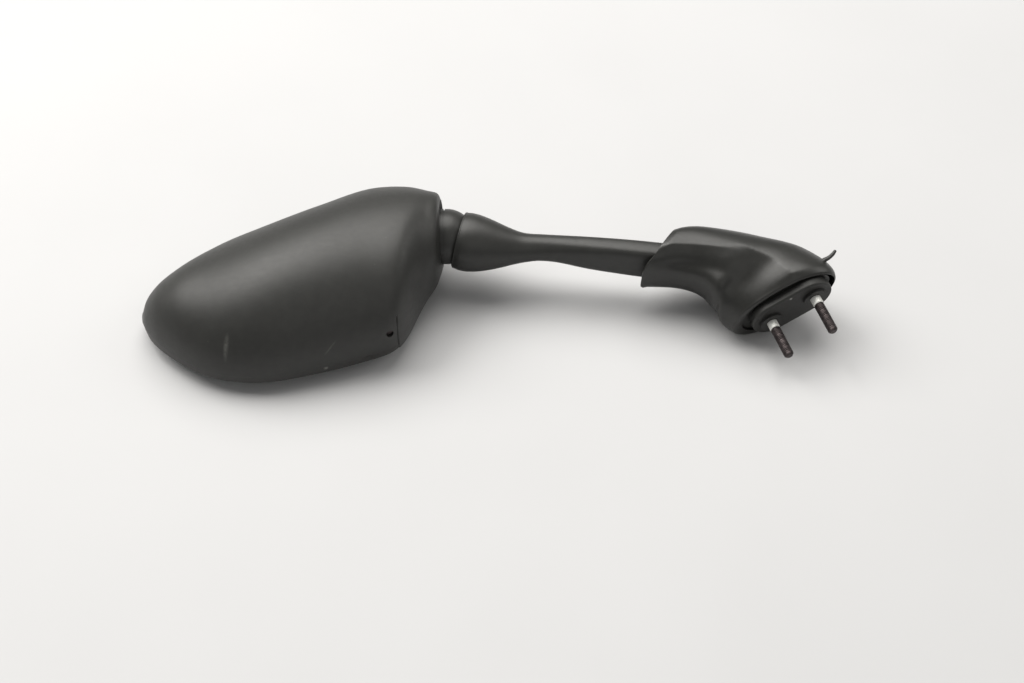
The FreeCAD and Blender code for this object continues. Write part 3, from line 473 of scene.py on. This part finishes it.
def make_materials(colours):
    """Every finish once; each is named for what the real surface is, and for the light painted into it
    where there is some.
    """
    # Injection moulded ABS with a spark-eroded grain: no clear gloss, a soft broad sheen. The grain
    # is drawn at 0.7 mm, coarser than the real one, so that it shows.
    MATERIALS["shell"] = dull_black(
        "grained_black_abs", colours.shell, 0.7, 0.05, rough=0.47, fleck=11.0, wear_and_glints=SHELL_MARKS,
    )
    MATERIALS["bezel"] = dull_black(
        "moulded_black_abs", colours.shell, 0.7, 0.05, rough=0.45, fleck=13.0, wear_and_glints=BEZEL_MARKS,
    )
    # Die-cast aluminium under a satin black powder coat: slight orange peel, sharper sheen.
    MATERIALS["casting"] = dull_black(
        "powder_coated_casting", colours.casting, 1.3, 0.05, rough=0.43, fleck=12.0,
    )
    # Compression moulded rubber: satin on the boot, matte on the pad.
    MATERIALS["rubber"] = dull_black(
        "moulded_black_rubber", colours.rubber, 0.9, 0.04, rough=0.36, fleck=12.0,
    )
    # The pad's spot on its edge is a painted highlight, a near-white glint.
    MATERIALS["pad"] = dull_black(
        "matte_black_rubber_painted_glint", colours.rubber, 0.6, 0.05, rough=0.55, fleck=9.0, wear_and_glints=PAD_GLINT,
    )
    # Plain turned steel looks nearly white under soft light: that shine is painted in, as a near-white
    # colour with little metal. Black oxide on a rolled thread has its purple-brown cast. The unevenness
    # of both is drawn at 2 mm, coarser than the real one.
    MATERIALS["bright"] = bare_metal("turned_steel_painted_shine", "#f0f0ea", "#fafaf6", 0.4, 2.0, metal=0.3)
    MATERIALS["oxide"] = bare_metal("black_oxide_thread", "#3e3939", "#595252", 0.5, 2.0)
    # Zinc plate is pale and even, spring steel darker and bluish, sintered bronze warm and grainy.
    MATERIALS["plated"] = bare_metal("zinc_plated_steel", "#9c9d98", "#c2c3bd", 0.34, 0.3)
    MATERIALS["spring"] = bare_metal("oiled_spring_steel", "#5f6064", "#82838a", 0.38, 0.2)
    MATERIALS["bronze"] = bare_metal("sintered_bronze", "#8a6a3c", "#a98450", 0.45, 0.15)
    # Acetal is smooth and slightly waxy, natural nylon creamy white, closed-cell foam dead matte.
    MATERIALS["acetal"] = plain_plastic("black_acetal", "#1c1c1c", "#2a2a29", 0.3)
    MATERIALS["nylon"] = plain_plastic("natural_nylon", "#d3cebf", "#e2decf", 0.4)
    MATERIALS["foam"] = plain_plastic("black_foam", "#151515", "#262626", 0.85)
    MATERIALS["mirror"] = silvered_glass()


# Finish of each solid.
NODE_FINISH = {
    "base_pad": "pad", "base_bracket": "casting", "mounting_studs": "oxide", "rubber_boot": "rubber",
    "fold_bolt": "plated", "fold_thrust_washer": "nylon", "fold_cap_washer": "plated",
    "fold_disc_springs": "spring", "fold_nut": "plated", "fold_bush": "bronze", "stem": "casting",
    "cup_liner": "acetal", "swivel_stud": "plated", "swivel_spring": "spring",
    "spring_washer": "plated", "swivel_nut": "plated", "spring_seat": "plated",
    "seat_slipper": "nylon", "swivel_bracket": "casting", "bracket_screws": "plated",
    "head_shell": "shell", "glass_bezel": "bezel", "mirror_glass": "mirror", "glass_backing": "foam",
    "bezel_screw": "oxide",
}


def ring_points(half_x, half_y, fullness, matrix, count):
    """Closed ring in a matrix's XY plane, sizes in mm: an ellipse at fullness 2, squarer above."""
    angles = 2 * np.pi * np.arange(count) / count - np.pi / 2
    power = 2 / fullness
    x = np.sign(np.cos(angles)) * np.abs(np.cos(angles)) ** power * half_x * MM
    y = np.sign(np.sin(angles)) * np.abs(np.sin(angles)) ** power * half_y * MM
    flat = np.stack([x, y, np.zeros(count), np.ones(count)], 1)
    return (flat @ np.array(matrix).T)[:, :3]


def run_between(rings, steps):
    """Rows filled in between drawn rings, so that each line along them is smooth."""
    rings = np.array(rings)
    spans = np.linalg.norm(np.diff(rings, axis=0), axis=2).mean(1)
    rates = np.diff(rings, axis=0) / spans[:, None, None]
    share = (spans[1:] / (spans[:-1] + spans[1:]))[:, None, None]
    middle = rates[:-1] * share + rates[1:] * (1 - share)
    slopes = np.concatenate([rates[:1], middle, rates[-1:]])
    rows = []
    for index, span in enumerate(spans):
        for t in np.arange(steps) / steps:
            start = 2 * t ** 3 - 3 * t ** 2 + 1
            leave = (t ** 3 - 2 * t ** 2 + t) * span
            arrive = (t ** 3 - t ** 2) * span
            rows.append(
                rings[index] * start + rings[index + 1] * (1 - start)
                + slopes[index] * leave + slopes[index + 1] * arrive
            )
    rows.append(rings[-1])
    return np.array(rows)


def facing(place, normal, side):
    """Matrix at a place with Z along the normal and X as near as it can to the side."""
    normal = normal.normalized()
    upright = normal.cross(side).normalized()
    across = upright.cross(normal)
    matrix = Matrix((across, upright, normal)).transposed().to_4x4()
    matrix.translation = place
    return matrix


def sheet_mesh(name, rows, tip=None):
    """Quads between rows of points that each close on themselves, with a tip where one is given."""
    count, around = rows.shape[:2]
    points = [tuple(p) for row in rows for p in row]
    faces = []
    for i in range(count - 1):
        for j in range(around):
            k = (j + 1) % around
            faces.append((i * around + j, i * around + k, (i + 1) * around + k, (i + 1) * around + j))
    if tip is not None:
        points.append(tuple(tip))
        last = (count - 1) * around
        faces += [(last + j, last + (j + 1) % around, len(points) - 1) for j in range(around)]
    mesh = bpy.data.meshes.new(name)
    mesh.from_pydata(points, [], faces)
    work = bmesh.new()
    work.from_mesh(mesh)
    bmesh.ops.recalc_face_normals(work, faces=work.faces)
    work.to_mesh(mesh)
    work.free()
    return mesh


def new_object(name, mesh, *materials):
    """Object of a mesh at the origin, in the scene, with its materials."""
    obj = bpy.data.objects.new(name, mesh)
    bpy.context.scene.collection.objects.link(obj)
    for material in materials:
        mesh.materials.append(material)
    return obj


def bake_modifiers(obj):
    """Turns the evaluated object into a plain mesh with smooth faces and no modifiers."""
    bpy.context.view_layer.update()
    evaluated = obj.evaluated_get(bpy.context.evaluated_depsgraph_get())
    mesh = bpy.data.meshes.new_from_object(evaluated)
    if not mesh.polygons:
        raise RuntimeError(obj.name + " came out with no faces")
    obj.modifiers.clear()
    obj.data = mesh
    mesh.name = obj.name
    mesh.polygons.foreach_set("use_smooth", [True] * len(mesh.polygons))
    mesh.set_sharp_from_angle(angle=math.radians(40))
    return obj


def wall_and_round(obj, wall, edge):
    """Gives a sheet its wall, inwards, and rounds the sharp edges that leaves."""
    solid = obj.modifiers.new("wall", "SOLIDIFY")
    solid.thickness = wall
    solid.offset = -1
    solid.use_even_offset = False
    rounding = obj.modifiers.new("edge", "BEVEL")
    rounding.width = edge
    rounding.segments = 3
    rounding.limit_method = "ANGLE"
    rounding.angle_limit = math.radians(50)


def head_rows(steps, around):
    """Rows of points from the collar's rim to just short of the head's tip."""
    rings = []
    for reach, near, height, half_width, half_height in HEAD_SECTIONS:
        place = HEAD @ (Vector((reach, near, height)) * MM)
        lean = 0.0 if rings else COLLAR_LEAN
        frame_turn = HEAD.to_3x3() @ turn("Y", lean).to_3x3()
        matrix = facing(place, frame_turn @ Vector((1, 0, 0)), frame_turn @ Vector((0, 1, 0)))
        rings.append(ring_points(half_width, half_height, 2.0, matrix, around))
    return run_between(rings, steps)


def cut_across(work, place, normal, clear=False):
    """Cuts a mesh along a plane; with clear, what lies beyond the plane goes."""
    whole = work.verts[:] + work.edges[:] + work.faces[:]
    bmesh.ops.bisect_plane(work, geom=whole, plane_co=place, plane_no=normal, clear_outer=clear)


def close_floor(work, height, start):
    """Closes the underside at a height with one face, on the side of the collar."""
    edge_verts = {v for e in work.edges if e.is_boundary for v in e.verts}
    ring = [v for v in edge_verts if abs(v.co.z - height) < 1e-6 and v.co.x > start - 1e-6]
    if len(ring) < 3:
        raise RuntimeError("the head's floor has no edge to close on")
    middle = sum((v.co for v in ring), Vector()) / len(ring)
    ring.sort(key=lambda v: math.atan2(v.co.y - middle.y, v.co.x - middle.x))
    work.faces.new(ring)


def end_of(node, direction):
    """Middle of the flat end of a solid, on the side that a direction points to."""
    solid = frame["nodes"][node]
    points = [solid.matrix_world @ vert.co for vert in solid.data.vertices]
    far = max(point.dot(direction) for point in points)
    face = [point for point in points if point.dot(direction) > far - 0.01 * MM]
    return sum(face, Vector()) / len(face)


def drill(obj, place, direction, radius, depth):
    """Takes a round hole out of an object, from a place outwards; the cutter goes after baking."""
    tool = bpy.data.meshes.new("drill")
    work = bmesh.new()
    bmesh.ops.create_cone(work, cap_ends=True, segments=32, radius1=radius, radius2=radius, depth=depth)
    work.to_mesh(tool)
    work.free()
    stand = direction.to_track_quat("Z", "Y").to_matrix().to_4x4()
    tool.transform(Matrix.Translation(place + direction * depth / 2) @ stand)
    cutter = new_object("drill", tool)
    hole = obj.modifiers.new("hole", "BOOLEAN")
    hole.operation = "DIFFERENCE"
    hole.solver = "EXACT"
    hole.object = cutter
    return cutter


class MIRROR_OT_head_shell(bpy.types.Operator):
    """Moulded shell of the head, with its closed collar, corner line and screw hole"""

    bl_idname = "mirror.head_shell"
    bl_label = "Head shell"

    def execute(self, context):
        sizes = context.scene.mirror_sizes
        mesh = sheet_mesh("head_shell_skin", head_rows(12, 200), HEAD @ (Vector(HEAD_TIP) * MM))
        work = bmesh.new()
        work.from_mesh(mesh)
        line = HEAD @ (Vector((CORNER_LINE, 0, 0)) * MM)
        seam = HEAD @ Vector((0, 0, HEAD_SEAM * MM))
        rim = HEAD @ Vector((0, 0, HEAD_RIM * MM))
        cut_across(work, rim, (0, 0, -1), clear=True)
        cut_across(work, seam, (0, 0, -1))
        for shift in (-0.5, 0.0, 0.5):
            cut_across(work, line + Vector((shift * sizes.seam_width, 0, 0)), (1, 0, 0))
        middles = {face: face.calc_center_median() for face in work.faces}
        mouth = [face for face, spot in middles.items() if spot.z < seam.z and spot.x < line.x]
        bmesh.ops.delete(work, geom=mouth, context="FACES")
        close_floor(work, rim.z, line.x)
        bmesh.ops.recalc_face_normals(work, faces=work.faces)
        top = HEAD @ (Vector((0, 0, CORNER_LINE_TOP)) * MM)
        for vert in work.verts:
            near_side = vert.co.y < BALL.y - NEAR_FLANK * MM
            if abs(vert.co.x - line.x) < 1e-6 and near_side and seam.z < vert.co.z < top.z:
                vert.co -= vert.normal * sizes.seam_depth
        work.to_mesh(mesh)
        work.free()
        shell = new_object("head_shell_skin", mesh, MATERIALS["shell"])
        wall_and_round(shell, SHELL_WALL * MM, sizes.edge_round)
        outward = HEAD.to_3x3() @ turn("Z", CORNER_HOLE_TURN).to_3x3() @ Vector((0, 1, 0))
        place = end_of("bezel_screw", outward) - outward * CORNER_SCREW_HEAD * MM
        cutter = drill(shell, place, outward, CORNER_HOLE_RADIUS * MM, CORNER_HOLE_LENGTH * MM)
        bake_modifiers(shell)
        bpy.data.objects.remove(cutter)
        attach(shell, "head")
        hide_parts("head_shell")
        return {"FINISHED"}


def boot_matrix(forward, height, lean, heading):
    """Where a section of the boot stands, with Z along the boot."""
    ahead = Matrix.Rotation(heading, 3, "Z") @ Vector((1, 0, 0))
    tip = math.radians(lean)
    up = Vector((0, 0, 1))
    normal = up * math.cos(tip) + ahead * math.sin(tip)
    along = ahead * math.cos(tip) - up * math.sin(tip)
    return MOUNT @ facing((ahead * forward + up * height) * MM, normal, along)


def boot_heading():
    """Direction of the stem round the mount's axis."""
    towards = MOUNT.to_3x3().inverted() @ (BALL - EYE)
    return math.atan2(towards.y, towards.x)


def boot_rows(steps, around):
    """Rows of points from the boot's turned-in lip to its cuff, before the ridge is raised."""
    heading = boot_heading()
    rings = []
    for forward, height, lean, half_length, half_width, fullness in BOOT_LIP + BOOT_SECTIONS:
        matrix = boot_matrix(forward, height, lean, heading * min(1.0, lean / BOOT_FULL_LEAN))
        rings.append(ring_points(half_length, half_width, fullness, matrix, around))
    return run_between(rings, steps)


def aside_of(course, along, angle, radius):
    """Distance of each point of the boot from a course, round its section."""
    shares, degrees = zip(*course)
    centre = np.radians(np.interp(along, shares, degrees))
    apart = (angle[None, :] - centre[:, None] + np.pi) % (2 * np.pi) - np.pi
    return apart * radius


def fade(along, start, end):
    """1 along the middle of the boot, falling to 0 over a share of its length at each end."""
    return (np.clip(along / start, 0, 1) * np.clip((1 - along) / end, 0, 1))[:, None]


def fullness_at(spot, along, angle, radius):
    """1 at one place of the boot, falling away round its section and along it."""
    share, degrees, spread, width = spot
    aside = aside_of(((0.0, degrees), (1.0, degrees)), along, angle, radius)
    return np.exp(-(aside / (width * MM)) ** 2) * np.exp(-((along - share) / spread) ** 2)[:, None]


def cut_cuff(rows, along, angle):
    """Ends each line along the boot a little sooner on the cuff's short side."""
    short = CUFF_SLANT * 0.5 * (1 + np.cos(angle - math.radians(CUFF_SHORT_SIDE)))
    cut = np.empty_like(rows)
    for line, share in enumerate(short):
        for axis in range(3):
            cut[:, line, axis] = np.interp(along * (1 - share), along, rows[:, line, axis])
    return cut


class MIRROR_OT_rubber_boot(bpy.types.Operator):
    """Rubber boot over the folding base: ridge and valley, beaded cuff and turned-in lip"""

    bl_idname = "mirror.rubber_boot"
    bl_label = "Rubber boot"

    def execute(self, context):
        sizes = context.scene.mirror_sizes
        around = 180
        rows = boot_rows(20, around)
        lengths = np.linalg.norm(np.diff(rows.mean(1), axis=0), axis=1)
        along = np.concatenate([[0], np.cumsum(lengths)]) / lengths.sum()
        angle = 2 * np.pi * np.arange(around) / around - np.pi / 2
        outward = rows - rows.mean(1, keepdims=True)
        outward /= np.linalg.norm(outward, axis=2, keepdims=True)
        radius = np.linalg.norm(rows - rows.mean(1, keepdims=True), axis=2)
        beside_ridge = aside_of(BOOT_RIDGE, along, angle, radius)
        fall = np.where(beside_ridge > 0, RIDGE_FALL_ABOVE * MM, RIDGE_FALL_BELOW * MM)
        crest = np.exp(-np.hypot(beside_ridge, RIDGE_CREST * MM) / fall)
        push = sizes.ridge_height * crest * fade(along, *RIDGE_FADE)
        beside_valley = aside_of(BOOT_VALLEY, along, angle, radius)
        trough = np.exp(-(beside_valley / (VALLEY_WIDTH * MM)) ** 2)
        push -= sizes.valley_depth * trough * fade(along, *VALLEY_FADE)
        push += sizes.shoulder_height * fullness_at(BOOT_SHOULDER, along, angle, radius)
        push += sizes.heel_height * fullness_at(BOOT_HEEL, along, angle, radius)
        bead = np.exp(-((along - CUFF_BEAD_PLACE) / CUFF_BEAD_WIDTH) ** 2)
        push += sizes.cuff_bead * bead[:, None]
        rows = cut_cuff(rows + outward * push[:, :, None], along, angle)
        mesh = sheet_mesh("rubber_boot_skin", rows)
        boot = new_object("rubber_boot_skin", mesh, MATERIALS["rubber"])
        wall_and_round(boot, BOOT_WALL * MM, sizes.edge_round)
        bake_modifiers(boot)
        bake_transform(boot)
        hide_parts("rubber_boot")
        return {"FINISHED"}


class MIRROR_OT_boot_tail(bpy.types.Operator):
    """Moulding tail at the boot's far end"""

    bl_idname = "mirror.boot_tail"
    bl_label = "Boot tail"

    def execute(self, context):
        path = [Vector(spot[:3]) * MM for spot in BOOT_TAIL]
        rings = []
        for index, point in enumerate(path):
            radius = BOOT_TAIL[index][3]
            ahead = path[min(index + 1, len(path) - 1)] - path[max(index - 1, 0)]
            matrix = facing(point, ahead, Vector((0, 0, 1)))
            rings.append(ring_points(radius, radius * 1.3, 2.0, matrix, 24))
        tip = path[-1] + (path[-1] - path[-2]).normalized() * 0.5 * MM
        mesh = sheet_mesh("boot_tail", run_between(rings, 6), tip)
        tail = new_object("boot_tail", mesh, MATERIALS["rubber"])
        bake_modifiers(tail)
        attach(tail, "base")
        return {"FINISHED"}


def lathe(name, profile, segments):
    """Closed mesh turned about Z: its profile runs from axis to axis, or round to its start."""
    work = bmesh.new()
    verts = [work.verts.new((radius, 0, height)) for radius, height in profile]
    edges = [work.edges.new(pair) for pair in zip(verts, verts[1:])]
    bmesh.ops.spin(
        work, geom=verts + edges, cent=(0, 0, 0), axis=(0, 0, 1), angle=2 * math.pi,
        steps=segments, use_merge=True, use_duplicate=False,
    )
    bmesh.ops.remove_doubles(work, verts=work.verts, dist=1e-7)
    bmesh.ops.recalc_face_normals(work, faces=work.faces)
    mesh = bpy.data.meshes.new(name)
    work.to_mesh(mesh)
    work.free()
    return mesh


class MIRROR_OT_cup_lip(bpy.types.Operator):
    """Rolled bead round the mouth of the stem's cup"""

    bl_idname = "mirror.cup_lip"
    bl_label = "Cup lip"

    def execute(self, context):
        sides = 12
        profile = []
        for side in range(sides + 1):
            angle = 2 * math.pi * side / sides
            radius = LIP_RADIUS + LIP_BEAD * math.cos(angle)
            profile.append((radius * MM, LIP_BEAD * math.sin(angle) * MM))
        mesh = lathe("cup_lip_bead", profile, 128)
        centre = BALL + CUP_AXIS * LIP_REACH * MM
        mesh.transform(facing(centre, CUP_AXIS, Vector((0, 1, 0))))
        bead = new_object("cup_lip_bead", mesh, MATERIALS["casting"])
        bake_modifiers(bead)
        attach(bead, "stem")
        return {"FINISHED"}


def thread_tree():
    """Node tree: winds a ridge on a turned stud, then sets the pair out at their spacing."""
    tree = bpy.data.node_groups.new("stud_pair", "GeometryNodeTree")
    sockets = tree.interface
    sockets.new_socket("Geometry", in_out="INPUT", socket_type="NodeSocketGeometry")
    for name in ("Thread radius", "Pitch", "Length", "Start", "Ridge", "Spacing"):
        sockets.new_socket(name, in_out="INPUT", socket_type="NodeSocketFloat")
    for name in ("Shank finish", "Thread finish"):
        sockets.new_socket(name, in_out="INPUT", socket_type="NodeSocketMaterial")
    sockets.new_socket("Geometry", in_out="OUTPUT", socket_type="NodeSocketGeometry")
    inputs = add(tree, "NodeGroupInput").outputs
    turns = add(tree, "ShaderNodeMath", {0: inputs["Length"], 1: inputs["Pitch"]}, operation="DIVIDE")
    fall = add(tree, "ShaderNodeMath", {0: inputs["Length"], 1: -1.0}, operation="MULTIPLY")
    spiral = add(tree, "GeometryNodeCurveSpiral", {
        "Resolution": 28, "Rotations": turns.outputs[0], "Start Radius": inputs["Thread radius"],
        "End Radius": inputs["Thread radius"], "Height": fall.outputs[0],
    })
    lower = add(tree, "ShaderNodeMath", {0: inputs["Start"], 1: -1.0}, operation="MULTIPLY")
    drop = add(tree, "ShaderNodeCombineXYZ", {"Z": lower.outputs[0]})
    placed = add(tree, "GeometryNodeTransform", {
        "Geometry": spiral.outputs[0], "Translation": drop.outputs[0],
    })
    profile = add(tree, "GeometryNodeCurvePrimitiveCircle", {
        "Resolution": 4, "Radius": inputs["Ridge"],
    })
    ridge = add(tree, "GeometryNodeCurveToMesh", {
        "Curve": placed.outputs[0], "Profile Curve": profile.outputs["Curve"], "Fill Caps": True,
    })
    joined = add(tree, "GeometryNodeJoinGeometry")
    tree.links.new(inputs["Geometry"], joined.inputs[0])
    tree.links.new(ridge.outputs[0], joined.inputs[0])
    gap = add(tree, "ShaderNodeCombineXYZ", {"X": inputs["Spacing"]})
    half = add(tree, "ShaderNodeVectorMath", {0: gap.outputs[0], "Scale": -0.5}, operation="SCALE")
    line = add(tree, "GeometryNodeMeshLine", {
        "Count": 2, "Start Location": half.outputs[0], "Offset": gap.outputs[0],
    })
    pair = add(tree, "GeometryNodeInstanceOnPoints", {
        "Points": line.outputs[0], "Instance": joined.outputs[0],
    })
    real = add(tree, "GeometryNodeRealizeInstances", {"Geometry": pair.outputs[0]})
    plain = add(tree, "GeometryNodeSetMaterial", {
        "Geometry": real.outputs[0], "Material": inputs["Shank finish"],
    })
    spot = add(tree, "GeometryNodeInputPosition")
    height = add(tree, "ShaderNodeSeparateXYZ", {"Vector": spot.outputs[0]})
    below = add(tree, "ShaderNodeMath", {
        0: height.outputs["Z"], 1: lower.outputs[0],
    }, operation="LESS_THAN")
    dark = add(tree, "GeometryNodeSetMaterial", {
        "Geometry": plain.outputs[0], "Selection": below.outputs[0],
        "Material": inputs["Thread finish"],
    })
    output = add(tree, "NodeGroupOutput")
    tree.links.new(dark.outputs[0], output.inputs[0])
    return tree


class MIRROR_OT_studs(bpy.types.Operator):
    """Pair of fixing studs: bright plain shank, then a black coarse thread"""

    bl_idname = "mirror.studs"
    bl_label = "Mounting studs"

    def execute(self, context):
        sizes = context.scene.mirror_sizes
        radius = sizes.stud_radius
        core = radius - THREAD_DEPTH * MM
        shank = STUD_SHANK_RADIUS * MM
        head = STUD_HEAD_RADIUS * MM
        edge = STUD_HEAD_EDGE * MM
        under = STUD_TOP * MM
        top = STUD_HEAD_TOP * MM
        reach = STUD_REACH * MM
        start = sizes.thread_start
        chamfer = THREAD_CHAMFER * MM
        profile = [
            (0.0, -reach), (core - chamfer, -reach), (core, -reach + chamfer),
            (core, -start - THREAD_TAPER * MM), (shank, -start), (shank, under),
            (head - edge, under), (head, under + edge), (head, top), (0.0, top),
        ]
        studs = new_object("threaded_studs", lathe("threaded_studs", profile, 40))
        tree = thread_tree()
        modifier = studs.modifiers.new("thread", "NODES")
        modifier.node_group = tree
        values = {
            "Thread radius": core, "Pitch": sizes.thread_pitch,
            "Length": reach - start - chamfer - THREAD_END_GAP * MM,
            "Start": start + THREAD_START_GAP * MM,
            "Ridge": radius - core, "Spacing": STUD_SPACING * MM,
            "Shank finish": MATERIALS["bright"], "Thread finish": MATERIALS["oxide"],
        }
        for item in tree.interface.items_tree:
            if item.in_out == "INPUT" and item.name in values:
                modifier[item.identifier] = values[item.name]
        bake_modifiers(studs)
        studs.data.transform(MOUNT)
        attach(studs, "base")
        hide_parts("mounting_studs")
        return {"FINISHED"}


class MIRROR_OT_solids(bpy.types.Operator):
    """Finishes on the pieces that keep their solid's own shape"""

    bl_idname = "mirror.solids"
    bl_label = "Cast, turned and pressed pieces"

    def execute(self, context):
        make_materials(context.scene.mirror_colours)
        for name, node in frame["nodes"].items():
            node.data.materials.clear()
            node.data.materials.append(MATERIALS[NODE_FINISH[name]])
        return {"FINISHED"}


def lay_floor(colour):
    """Plain floor just under the mirror; clear from below, so that it doesn't hide the glass."""
    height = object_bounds()[0].z - FLOOR_GAP * MM
    corners = ((-1, -1), (1, -1), (1, 1), (-1, 1))
    mesh = bpy.data.meshes.new("floor")
    mesh.from_pydata([(x * FLOOR_HALF, y * FLOOR_HALF, height) for x, y in corners], [], [(0, 1, 2, 3)])
    # Painted board: even and dull, with a faint unevenness of tone.
    material, tree, place = new_material("pale_floor")
    tone = mottled(tree, place, 160.0, 0.97, 1.0)
    paint = add(tree, "ShaderNodeMix", {
        "Factor": tone, MIX_A: [0.0, 0.0, 0.0, 1.0], MIX_B: list(colour) + [1.0],
    }, data_type="RGBA")
    board = add(tree, "ShaderNodeBsdfPrincipled", {
        "Base Color": paint.outputs[MIXED], "Roughness": 0.7,
    })
    clear = add(tree, "ShaderNodeBsdfTransparent")
    beneath = add(tree, "ShaderNodeNewGeometry").outputs["Backfacing"]
    shader = add(tree, "ShaderNodeMixShader", {
        "Fac": beneath, 1: board.outputs[0], 2: clear.outputs[0],
    })
    finish_material(tree, shader)
    new_object("floor", mesh, material)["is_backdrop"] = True


def set_camera(scene):
    """Camera straight in front of the mirror, looking down on it."""
    tilt = math.radians(CAMERA_ELEVATION)
    camera = bpy.data.objects.new("camera", bpy.data.cameras.new("camera"))
    scene.collection.objects.link(camera)
    back = Vector((0, -math.cos(tilt), math.sin(tilt)))
    camera.location = CAMERA_TARGET + back * CAMERA_DISTANCE
    camera.rotation_euler = (math.pi / 2 - tilt, 0, 0)
    camera.data.lens = CAMERA_LENS
    camera.data.sensor_width = CAMERA_SENSOR
    camera.data.clip_start = 0.01
    scene.camera = camera


def hang_lamps(scene):
    """Soft lamps, and a dim even sky."""
    for name, place, width, watts in LAMPS:
        light = bpy.data.lights.new(name, "AREA")
        light.shape = "DISK"
        light.size = width
        light.energy = watts
        light.color = linear(LAMP_COLOUR)[:3]
        lamp = bpy.data.objects.new(name, light)
        scene.collection.objects.link(lamp)
        lamp.location = place
        lamp.rotation_euler = (LAMP_TARGET - lamp.location).to_track_quat("-Z", "Y").to_euler()
    world = bpy.data.worlds.new("studio")
    scene.world = world
    world.use_nodes = True
    sky = world.node_tree
    sky.nodes.clear()
    shade = add(sky, "ShaderNodeBackground", {"Color": linear(SKY_COLOUR), "Strength": SKY_STRENGTH})
    add(sky, "ShaderNodeOutputWorld", {"Surface": shade.outputs[0]})


class MIRROR_OT_stage(bpy.types.Operator):
    """Pale floor, soft studio light and the camera"""

    bl_idname = "mirror.stage"
    bl_label = "Stage"

    def execute(self, context):
        scene = context.scene
        scene.view_settings.view_transform = "Standard"
        lay_floor(scene.mirror_colours.floor)
        set_camera(scene)
        hang_lamps(scene)
        return {"FINISHED"}


class MIRROR_PT_panel(bpy.types.Panel):
    """Lists the sizes, the colours and the pieces of the mirror"""

    bl_idname = "MIRROR_PT_panel"
    bl_label = "Motorcycle mirror"
    bl_space_type = "VIEW_3D"
    bl_region_type = "UI"
    bl_category = "Mirror"

    def draw(self, context):
        for group in (context.scene.mirror_sizes, context.scene.mirror_colours):
            for name in group.bl_rna.properties.keys():
                if name not in ("rna_type", "name"):
                    self.layout.prop(group, name)
        for operator in OPERATORS:
            self.layout.operator(operator.bl_idname)


OPERATORS = (
    MIRROR_OT_solids,
    MIRROR_OT_head_shell,
    MIRROR_OT_rubber_boot,
    MIRROR_OT_boot_tail,
    MIRROR_OT_cup_lip,
    MIRROR_OT_studs,
    MIRROR_OT_stage,
)
CLASSES = (MirrorSizes, MirrorColours, *OPERATORS, MIRROR_PT_panel)


def register():
    for item in CLASSES:
        bpy.utils.register_class(item)
    bpy.types.Scene.mirror_sizes = PointerProperty(type=MirrorSizes)
    bpy.types.Scene.mirror_colours = PointerProperty(type=MirrorColours)


def unregister():
    del bpy.types.Scene.mirror_colours
    del bpy.types.Scene.mirror_sizes
    for item in reversed(CLASSES):
        bpy.utils.unregister_class(item)


def main():
    register()
    bpy.ops.mirror.solids()
    bpy.ops.mirror.head_shell()
    bpy.ops.mirror.rubber_boot()
    bpy.ops.mirror.boot_tail()
    bpy.ops.mirror.cup_lip()
    bpy.ops.mirror.studs()
    bpy.ops.mirror.stage()


if __name__ == "__main__":
    main()
